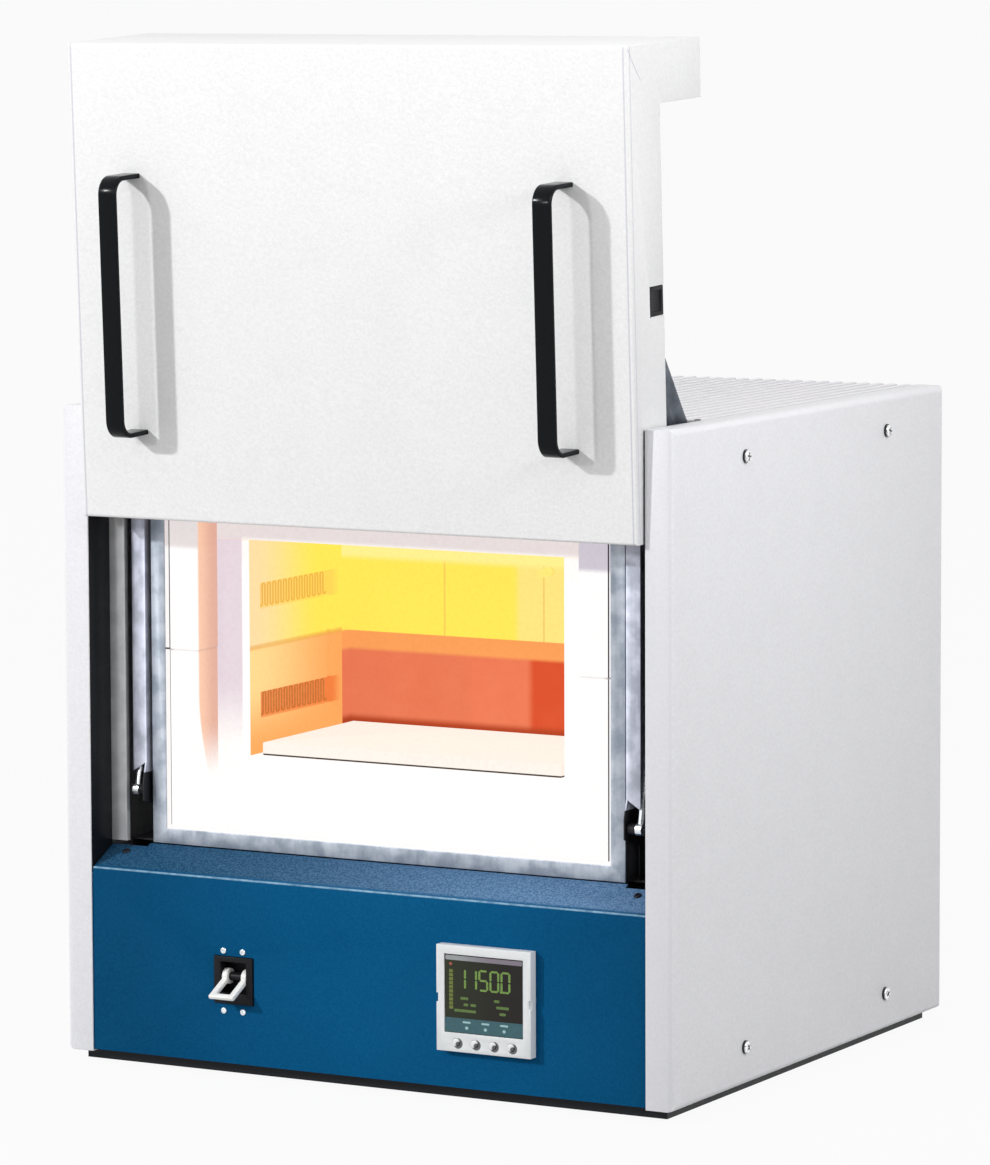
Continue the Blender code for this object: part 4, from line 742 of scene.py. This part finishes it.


# The uprights are painted near black below the mitre, as the pocket's shade.
upright_steel = plated("upright_zinc", (0.35, 0.37, 0.44), (0.58, 0.6, 0.7), 0.45, 0.5, shade_height=0.2715)
strip_steel = plated("strip_zinc", (0.6, 0.61, 0.62), (0.74, 0.75, 0.76), 0.5, 0.2)
# Near black: painted shade for the case and shelf seen in the pockets.
shelf_steel_shaded = plated("shelf_zinc_shaded", (0.05, 0.05, 0.055), (0.1, 0.1, 0.11), 0.5, 0.4)
pan_steel = plated("pan_zinc", (0.4, 0.41, 0.44), (0.55, 0.56, 0.59), 0.5)
for side in ("left", "right"):
    for node, name, material, slot, edge in (
            (f"door_jamb_{side}", f"jamb_sheet_{side}", black_enamel, "black_enamel", 0.0004),
            (f"landing_strip_{side}", f"landing_plate_{side}", strip_steel, "frame_steel", 0.0005),
            (f"pivot_upright_{side}", f"upright_sheet_{side}", upright_steel, "frame_steel", 0.0003)):
        sheet = from_cad(node, name)
        close_up(sheet, edge, 2)
        stands_for(sheet, material, "cabinet", slot, node)

# The chamber's case is a welded box of plated steel on a folded shelf, both painted near black as the
# pockets' shade. A blue-grey plated frame closes it round the mouth.
frame_steel = plated("frame_zinc", (0.26, 0.3, 0.36), (0.47, 0.51, 0.57), 0.42, 0.6)
mouth = from_cad("chamber_frame", "mouth_frame")
close_up(mouth, 0.0004, 2)
stands_for(mouth, frame_steel, "cabinet", "frame_steel", "chamber_frame")
dress(cad["inner_case"], shelf_steel_shaded)
dress(cad["chassis_shelf"], shelf_steel_shaded)


# The chamber is lined with blocks of vacuum-formed ceramic fibre that glow at working heat: yellow above
# the seam, and orange to deep red below it. The collar round the mouth is the palest, with a painted dark
# shadow of the gap along its sides and foot.
def glowing(name, base, colour_of):
    """Hot ceramic fibre whose glow is worked out from its place in the chamber."""
    material, shader, place = finish(name, base, 0.9, gloss=0.1, **LIT)
    fibres = place.noise(240.0, 4.0, 0.7)
    heat = (fibres.slope(0.4, 0.7) * 0.06).blend(colour_of(place), (0.3, 0.1, 0.02))
    feed(shader, "Emission Color", heat)
    feed(shader, "Base Color", heat.node("ShaderNodeMix", {"data_type": "RGBA", "blend_type": "MULTIPLY"},
                                         {0: 1.0, 6: heat, 7: (*base, 1)}, 2))
    bumps(shader, fibres, 0.4, 0.0008)
    return material


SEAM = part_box("collar_lower")[1].z + 0.00015
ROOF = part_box("chamber_roof")[0].z
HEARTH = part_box("chamber_floor")[1].z
MOUTH_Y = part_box("chamber_floor")[0].y
REAR_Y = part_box("chamber_wall_left")[1].y
WALL_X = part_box("chamber_wall_right")[0].x
RECESS_HALF = 0.199
# Where the painted shadow of the gap between frame and collar runs.
GAP_SHADOW_HALF, GAP_SHADOW_FOOT = 0.2284, 0.2204
GROOVES = (0.3316, 0.4331)
GROOVE_HALF = 0.012
GROOVE_ENDS = (-0.1616, -0.0326)
REAR_JOINT = 0.053
REAR_CREST = (0.452, 0.46)
COLLAR_CREST = (0.478, 0.484)
COLLAR_FACE = (-0.2172, -0.2166)
PLATE_CREST = (0.2878, 0.2884)
WHITE_HEAT = (0.96, 0.94, 0.93)
# Painted shadow colours on the mouth and the collar.
LILAC_SHADOW = (0.74, 0.65, 0.72)
PINK_GREY_SHADOW = (0.76, 0.7, 0.7)
CREAM = (0.94, 0.7, 0.38)
AMBER = (0.95, 0.67, 0.28)
ORANGE = (0.88, 0.38, 0.11)
EMBER = (0.62, 0.075, 0.025)
YELLOW = (0.98, 0.76, 0.1)


def mouth_glow(place):
    """The lining's front edge: a painted shadow in lilac at the left and in pink-grey at the top, white at
    the foot and the lip.
    """
    across = place.along("X")
    up = place.along("Z")
    shade = (1 - across.slope(-0.166, -0.1635)) * up.slope(0.285, 0.36)
    lip = (abs(across) - WALL_X).slope(0.0065, 0.0085)
    left = (shade * lip).blend(WHITE_HEAT, LILAC_SHADOW)
    return up.slope(ROOF - 0.002, ROOF + 0.004).blend(left, PINK_GREY_SHADOW)


def wall_glow(place):
    """From front to rear, cream to yellow above the seam and amber to orange below, with painted shade in
    the grooves.
    """
    up = place.along("Z")
    inward = place.along("Y")
    upper = inward.slope(MOUTH_Y, REAR_Y - 0.04).blend(CREAM, YELLOW)
    lower = inward.slope(MOUTH_Y, REAR_Y).blend(AMBER, ORANGE)
    lower = up.slope(HEARTH, SEAM - 0.03).blend(ORANGE, lower)
    ledge = (1 - abs(up - SEAM).slope(0.001, 0.0035)) * 0.55
    wall = ledge.blend(up.slope(SEAM - 0.002, SEAM + 0.002).blend(lower, upper), (0.72, 0.36, 0.06))
    run = inward.slope(GROOVE_ENDS[0] - 0.0004, GROOVE_ENDS[0]) * (1 - inward.slope(GROOVE_ENDS[1], REAR_Y))
    # Painted shade in the grooves.
    for level, tint, share in zip(GROOVES, ((0.8, 0.16, 0.035), (0.86, 0.5, 0.1)), (0.75, 0.45)):
        groove = (1 - abs(up - level).slope(GROOVE_HALF - 0.0002, GROOVE_HALF + 0.0004)) * run * share
        wall = groove.blend(wall, tint)
    wall = up.slope(HEARTH + 0.0002, HEARTH + 0.0008).blend(WHITE_HEAT, wall)
    front = 1 - inward.slope(MOUTH_Y + 0.0002, MOUTH_Y + 0.001)
    return front.blend(wall, mouth_glow(place))


def rear_glow(place):
    """Bright yellow above the seam with a fine joint, an orange band at it, and ember red in the recess."""
    across = place.along("X")
    up = place.along("Z")
    upper = across.slope(0.02, 0.03).blend(YELLOW, (0.95, 0.74, 0.22))
    joint = (1 - abs(abs(across) - REAR_JOINT).slope(0.0004, 0.0014)) * 0.6
    upper = joint.blend(upper, (0.7, 0.46, 0.1))
    upper = up.slope(*REAR_CREST).blend(upper, (1.0, 0.82, 0.28))
    ember = (across.slope(0.026, 0.036) * 0.85 + place.noise(30.0) * 0.3).blend((0.76, 0.2, 0.1), EMBER)
    ember = (1 - up.slope(HEARTH + 0.012, HEARTH + 0.02)).blend(ember, (0.4, 0.05, 0.015))
    band = up.slope(SEAM - 0.022, SEAM - 0.017).blend(ember, (0.86, 0.33, 0.1))
    return up.slope(SEAM - 0.003, SEAM + 0.001).blend(band, upper)


def collar_glow(place):
    """White heat with a painted pink-grey shadow at the top, greyer at the right, a painted peach shadow
    that runs to a point on the recess's side walls, a fine dark seam, and a painted shadow of the gap at
    sides and foot."""
    across, inward, up = (place.along(axis) for axis in "XYZ")
    half = abs(across)
    shaded = across.slope(-0.01, 0.01).blend(PINK_GREY_SHADOW, (0.6, 0.56, 0.63))
    colour = up.slope(*COLLAR_CREST).blend(WHITE_HEAT, shaded)
    recessed = inward.slope(*COLLAR_FACE)
    side_wall = 1 - (half - RECESS_HALF).slope(0.0008, 0.0016)
    line = inward - (0.345 - up).slope(0.0, 0.166) * 0.036
    shade = side_wall * recessed * line.slope(COLLAR_FACE[1], COLLAR_FACE[1] + 0.0031) * up.slope(0.26, 0.32)
    peach = inward.slope(COLLAR_FACE[1], -0.186).blend((0.93, 0.55, 0.37), (0.72, 0.38, 0.28))
    colour = (shade * 0.92).blend(colour, peach)
    seam = (1 - abs(up - SEAM).slope(0.0005, 0.0012)) * (half.slope(0.222, 0.235) * 0.8 + 0.16)
    colour = seam.blend(colour, (0.05, 0.035, 0.05))
    gap_shadow = half.slope(GAP_SHADOW_HALF - 0.0004, GAP_SHADOW_HALF) + 1 - up.slope(GAP_SHADOW_FOOT, GAP_SHADOW_FOOT + 0.0004)
    gap_shadow = gap_shadow.clamped() * (1 - recessed)
    return gap_shadow.blend(colour, (0.03, 0.035, 0.045))


def plate_glow(place):
    """The hearth plate's dark edge and pale top."""
    return place.along("Z").slope(*PLATE_CREST).blend((0.05, 0.035, 0.03), (0.9, 0.84, 0.77))


hot_wall = glowing("hot_wall_fibre", (0.16, 0.14, 0.12), wall_glow)
hot_rear = glowing("hot_rear_fibre", (0.16, 0.14, 0.12), rear_glow)
hot_collar = glowing("hot_collar_fibre", (0.12, 0.12, 0.12), collar_glow)
hot_plate = glowing("hot_hearth_plate", (0.12, 0.12, 0.12), plate_glow)
for node, name in (("collar_lower", "collar_block_lower"), ("collar_upper", "collar_block_upper")):
    block = from_cad(node, name)
    close_up(block, 0.0012)
    stands_for(block, hot_collar, "cabinet", "ceramic", node)
for node in ("chamber_wall_left", "chamber_wall_right", "chamber_roof", "chamber_floor"):
    dress(cad[node], hot_wall)
dress(cad["chamber_rear"], hot_rear)
plate = from_cad("hearth_plate", "hearth_slab")
close_up(plate, 0.0012)
stands_for(plate, hot_plate, "cabinet", "ceramic", "hearth_plate")

# The elements are round resistance wire, bent to and fro across two grooves in each side wall and pinned
# there. They glow a little brighter above the seam.
WIRE_RADIUS = 0.0008
WIRE_PITCH = 0.0048
WIRE_BENDS = 13
wire_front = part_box("element_left")[0].y
wire_hot, wire_shader, wire_place = finish("element_alloy", (0.12, 0.05, 0.02), 0.7, **LIT)
upper_row = wire_place.along("Z").slope(SEAM - 0.01, SEAM + 0.01)
wire_colour = upper_row.blend((0.42, 0.09, 0.02), (0.74, 0.42, 0.06))
feed(wire_shader, "Emission Color", (wire_place.noise(300.0) * 0.3).blend(wire_colour, (0.8, 0.5, 0.1)))


def bent_wire(level):
    """One row of wire at x = 0: it goes up and down across a groove, with a round bend at each end."""
    run = (GROOVE_HALF - 0.0005 - WIRE_PITCH / 2 - WIRE_RADIUS) * 2
    start = wire_front + WIRE_RADIUS
    row = blank("wire_row", bpy.ops.mesh.primitive_circle_add, vertices=8, radius=WIRE_RADIUS,
                fill_type="NGON", location=(0, start, level - run / 2))
    open_up(row)
    bpy.ops.mesh.select_all(action="SELECT")
    for sign in (1, -1):
        bpy.ops.mesh.extrude_region_move(TRANSFORM_OT_translate={"value": (0, 0, run * sign)})
        turn = (0, start + WIRE_PITCH * (1 - sign / 2), level + run / 2 * sign)
        bpy.ops.mesh.spin(steps=6, angle=math.pi * sign, center=turn, axis=(1, 0, 0))
    bpy.ops.mesh.delete(type="FACE")
    pick("FACE", lambda face: len(face.verts) > 4)
    bpy.ops.mesh.delete(type="FACE")
    bpy.ops.object.mode_set(mode="OBJECT")
    repeat = row.modifiers.new("repeat", "ARRAY")
    repeat.count = WIRE_BENDS
    repeat.use_relative_offset = False
    repeat.use_constant_offset = True
    repeat.constant_offset_displace = (0, WIRE_PITCH * 2, 0)
    repeat.use_merge_vertices = True
    repeat.merge_threshold = 0.0001
    bpy.ops.object.modifier_apply(modifier=repeat.name)
    return row


for label in ("left", "right"):
    element = joined(f"bent_element_{label}", [bent_wire(level) for level in GROOVES])
    element.data.transform(Matrix.Translation((centre(f"element_{label}").x, 0, 0)))
    open_up(element)
    bpy.ops.mesh.select_all(action="SELECT")
    bpy.ops.mesh.fill_holes(sides=8)
    bpy.ops.mesh.normals_make_consistent(inside=False)
    close_up(element, 0, angle=50.0)
    stands_for(element, wire_hot, "cabinet", "element_wire", f"element_{label}")


# The thermocouple is a probe in a ceramic sheath that comes through the rear wall. Its tip is as hot as the
# chamber, and the rest of it is dark.
def probe_glow(place):
    """The probe's hot tip, and its dark end behind the lining."""
    return place.along("Y").slope(-0.02, 0.01).blend((0.95, 0.74, 0.2), (0.012, 0.011, 0.01))


dress(cad["thermocouple"], glowing("hot_probe_sheath", (0.2, 0.2, 0.2), probe_glow))

# Behind the control panel stand the solid-state relay, on its ribbed heat sink of extruded aluminium, and
# the moulded terminal block for the mains.
sink_metal, sink_shader, sink_place = finish("heat_sink_aluminium", (0.6, 0.6, 0.62), 0.4, 1.0)
feed(sink_shader, "Roughness", sink_place.stretched((30.0, 300.0, 30.0)).noise(1.0) * 0.3 + 0.25)
dress(cad["power_relay"], sink_metal)
dress(cad["terminal_block"], black_plastic)

# The door is a deep tray of white enamelled sheet with a hood over the arms. A plated pan closes it at the
# back and holds the insulating board.
DOOR_LEAN = math.radians(2.6)
DOOR_PLACE = Matrix.Translation((0, -0.27238, 0.51187)) @ Matrix.Rotation(DOOR_LEAN, 4, "X")
DOOR_HALF, DOOR_HEIGHT = 0.2865, 0.434
DOOR_WHITE = (0.855, 0.855, 0.858)
CORNER_RADIUS = 0.0034
MITRE_END = (0.024, 0.036)
FOLD_DEPTH = 0.0048
SIDE_SHADE_FROM, SIDE_SHADE_TO = 0.06, 0.4
back_home = DOOR_PLACE.inverted()


def door_seams(place, tone):
    """The hood's closed mitre, fine grey lines along the corners, and painted shade on the sides, deeper
    towards their foot.
    """
    inward, height = place.along("Y"), place.along("Z")
    back = inward * math.cos(DOOR_LEAN) + height * math.sin(DOOR_LEAN)
    up = height * math.cos(DOOR_LEAN) - inward * math.sin(DOOR_LEAN)
    corner = back_home @ Vector()
    depth = back + corner.y
    drop = (up + corner.z) * -1 + DOOR_HEIGHT
    beside = abs(place.along("X")) > DOOR_HALF - 0.0004
    mitre = 1 - abs(depth - drop * 0.62 - drop * drop * 6.0).slope(0.0003, 0.0011)
    mitre = mitre * beside * (1 - drop.slope(*MITRE_END))
    fold = (1 - abs(depth - FOLD_DEPTH).slope(0.0003, 0.0013)) * beside * 0.45
    edge = 1 - abs(abs(place.along("X")) - DOOR_HALF + CORNER_RADIUS + 0.0004).slope(0.0003, 0.0012)
    edge = edge * (1 - depth.slope(0.001, 0.002)) * 0.6
    shaded_sides = (beside * drop.slope(SIDE_SHADE_FROM, SIDE_SHADE_TO) * 0.4).blend(tone, (0.62, 0.62, 0.65))
    return (mitre * 0.75 + fold + edge).clamped().blend(shaded_sides, (0.48, 0.48, 0.57))


door_enamel = enamel("door_enamel_paint", DOOR_WHITE, 0.42, 0.05, 0.35, seams=door_seams)
shell = from_cad("door_shell", "door_sheet")


def front_corner(edge):
    """Whether an edge is one of the door's two upright front corners, or its top front one."""
    ends = [back_home @ corner.co for corner in edge.verts]
    if any(abs(end.y) > 0.0003 for end in ends):
        return False
    upright = all(abs(abs(end.x) - DOOR_HALF) < 0.0003 for end in ends)
    return upright or all(abs(end.z - DOOR_HEIGHT) < 0.0006 for end in ends)


pick("EDGE", front_corner)
bpy.ops.mesh.bevel(offset=CORNER_RADIUS, segments=6, profile=0.5, affect="EDGES")
close_up(shell, 0.0005, 2)
stands_for(shell, door_enamel, "door", "white_enamel", "door_shell")
dress(cad["door_pan"], pan_steel)
board, board_shader, board_place = finish("fibre_board", (0.8, 0.78, 0.74), 0.95)
feed(board_shader, "Base Color", board_place.noise(150.0, 4.0).blend((0.7, 0.67, 0.62), (0.86, 0.84, 0.8)))
bumps(board_shader, board_place.noise(300.0, 4.0, 0.7), 0.5, 0.001)
dress(cad["door_insulation"], board)

# A black moulded stop fills the notch in each side of the door. Its outer face is sunk inside a narrow rim,
# and it lies a hair below the sheet.
NOTCH_BACK, NOTCH_UP = (0.0333, 0.06), (0.196, 0.223)
STOP_INNER, STOP_OUTER = 0.2745, DOOR_HALF - 0.0004
STOP_PLAY = 0.0006
for label, side in (("left", -1), ("right", 1)):
    across = (STOP_INNER + STOP_OUTER) / 2 * side
    stop = blank(f"notch_stop_{label}", bpy.ops.mesh.primitive_cube_add,
                 (STOP_OUTER - STOP_INNER, NOTCH_BACK[1] - NOTCH_BACK[0] - STOP_PLAY,
                  NOTCH_UP[1] - NOTCH_UP[0] - STOP_PLAY),
                 size=1, location=(across, sum(NOTCH_BACK) / 2 - 0.0001, sum(NOTCH_UP) / 2))
    open_up(stop)
    pick("FACE", lambda face: face.normal.x * side > 0.9)
    bpy.ops.mesh.inset(thickness=0.004)
    bpy.ops.mesh.extrude_region_move(TRANSFORM_OT_translate={"value": (-0.0015 * side, 0, 0)})
    close_up(stop, 0.0009, angle=40.0)
    stop.data.transform(DOOR_PLACE)
    stands_for(stop, black_plastic, "door", "rubber")

# The two handles are bent from flat steel bar and coated satin black. Each is screwed to the door from
# inside.
satin_black, satin_shader, satin_place = finish("handle_coating", (0.005, 0.006, 0.008), 0.24, gloss=0.09)
satin_tone = satin_place.noise(250.0).blend((0.003, 0.004, 0.005), (0.006, 0.008, 0.01))
feed(satin_shader, "Base Color", satin_tone)
feed(satin_shader, "Roughness", satin_place.noise(400.0) * 0.12 + 0.12)
bumps(satin_shader, satin_place.noise(900.0), 0.12, 0.0002)
STRAP_WIDTH = 0.018
STRAP_THICKNESS = 0.0045
STRAP_EDGE = 0.0012
STRAP_BEND = 0.017
STAND_OFF = 0.043
HANDLE_FOOT, HANDLE_TOP = 0.0785, 0.3165
for label in ("left", "right"):
    handle = blank(f"strap_handle_{label}", bpy.ops.mesh.primitive_plane_add,
                   (STRAP_WIDTH, STRAP_THICKNESS, 1), size=1, rotation=(math.pi / 2, 0, 0),
                   location=(0, 0, HANDLE_FOOT + STRAP_THICKNESS / 2))
    open_up(handle)
    pick("VERT", lambda corner: True)
    bpy.ops.mesh.bevel(offset=STRAP_EDGE, segments=4, profile=0.5, affect="VERTICES")
    pick("FACE", lambda face: True)
    arm_run = STAND_OFF - STRAP_BEND
    grip_run = HANDLE_TOP - HANDLE_FOOT - STRAP_BEND * 2
    bpy.ops.mesh.extrude_region_move(TRANSFORM_OT_translate={"value": (0, -arm_run, 0)})
    quarter = {"steps": 14, "angle": math.pi / 2, "axis": (1, 0, 0)}
    bpy.ops.mesh.spin(center=(0, -arm_run, HANDLE_FOOT + STRAP_BEND), **quarter)
    bpy.ops.mesh.extrude_region_move(TRANSFORM_OT_translate={"value": (0, 0, grip_run)})
    bpy.ops.mesh.spin(center=(0, -arm_run, HANDLE_TOP - STRAP_BEND), **quarter)
    bpy.ops.mesh.extrude_region_move(TRANSFORM_OT_translate={"value": (0, arm_run, 0)})
    bpy.ops.mesh.select_all(action="SELECT")
    bpy.ops.mesh.remove_doubles(threshold=0.00001)
    bpy.ops.mesh.normals_make_consistent(inside=False)
    close_up(handle, 0, angle=35.0)
    handle.data.transform(DOOR_PLACE @ Matrix.Translation((centre(f"handle_{label}").x, 0, 0)))
    stands_for(handle, satin_black, "door", "handle_black", f"handle_{label}")

# The lift and guide arms are laser-cut steel plates that turn on pins in the side pockets. A gas strut, a
# black cylinder with a ground rod, pushes each lift arm up.
arm_steel = plated("arm_plate", (0.05, 0.06, 0.08), (0.12, 0.14, 0.17), 0.4, 0.7)
for side in ("left", "right"):
    for kind in ("lift", "guide"):
        plate = from_cad(f"{kind}_arm_{side}", f"{kind}_link_{side}")
        close_up(plate, 0.0004, 2)
        stands_for(plate, arm_steel, f"{kind}_arms", "dark_steel", f"{kind}_arm_{side}")
    dress(cad[f"strut_cylinder_{side}"], black_enamel)
    dress(cad[f"strut_rod_{side}"], steel_zinc)
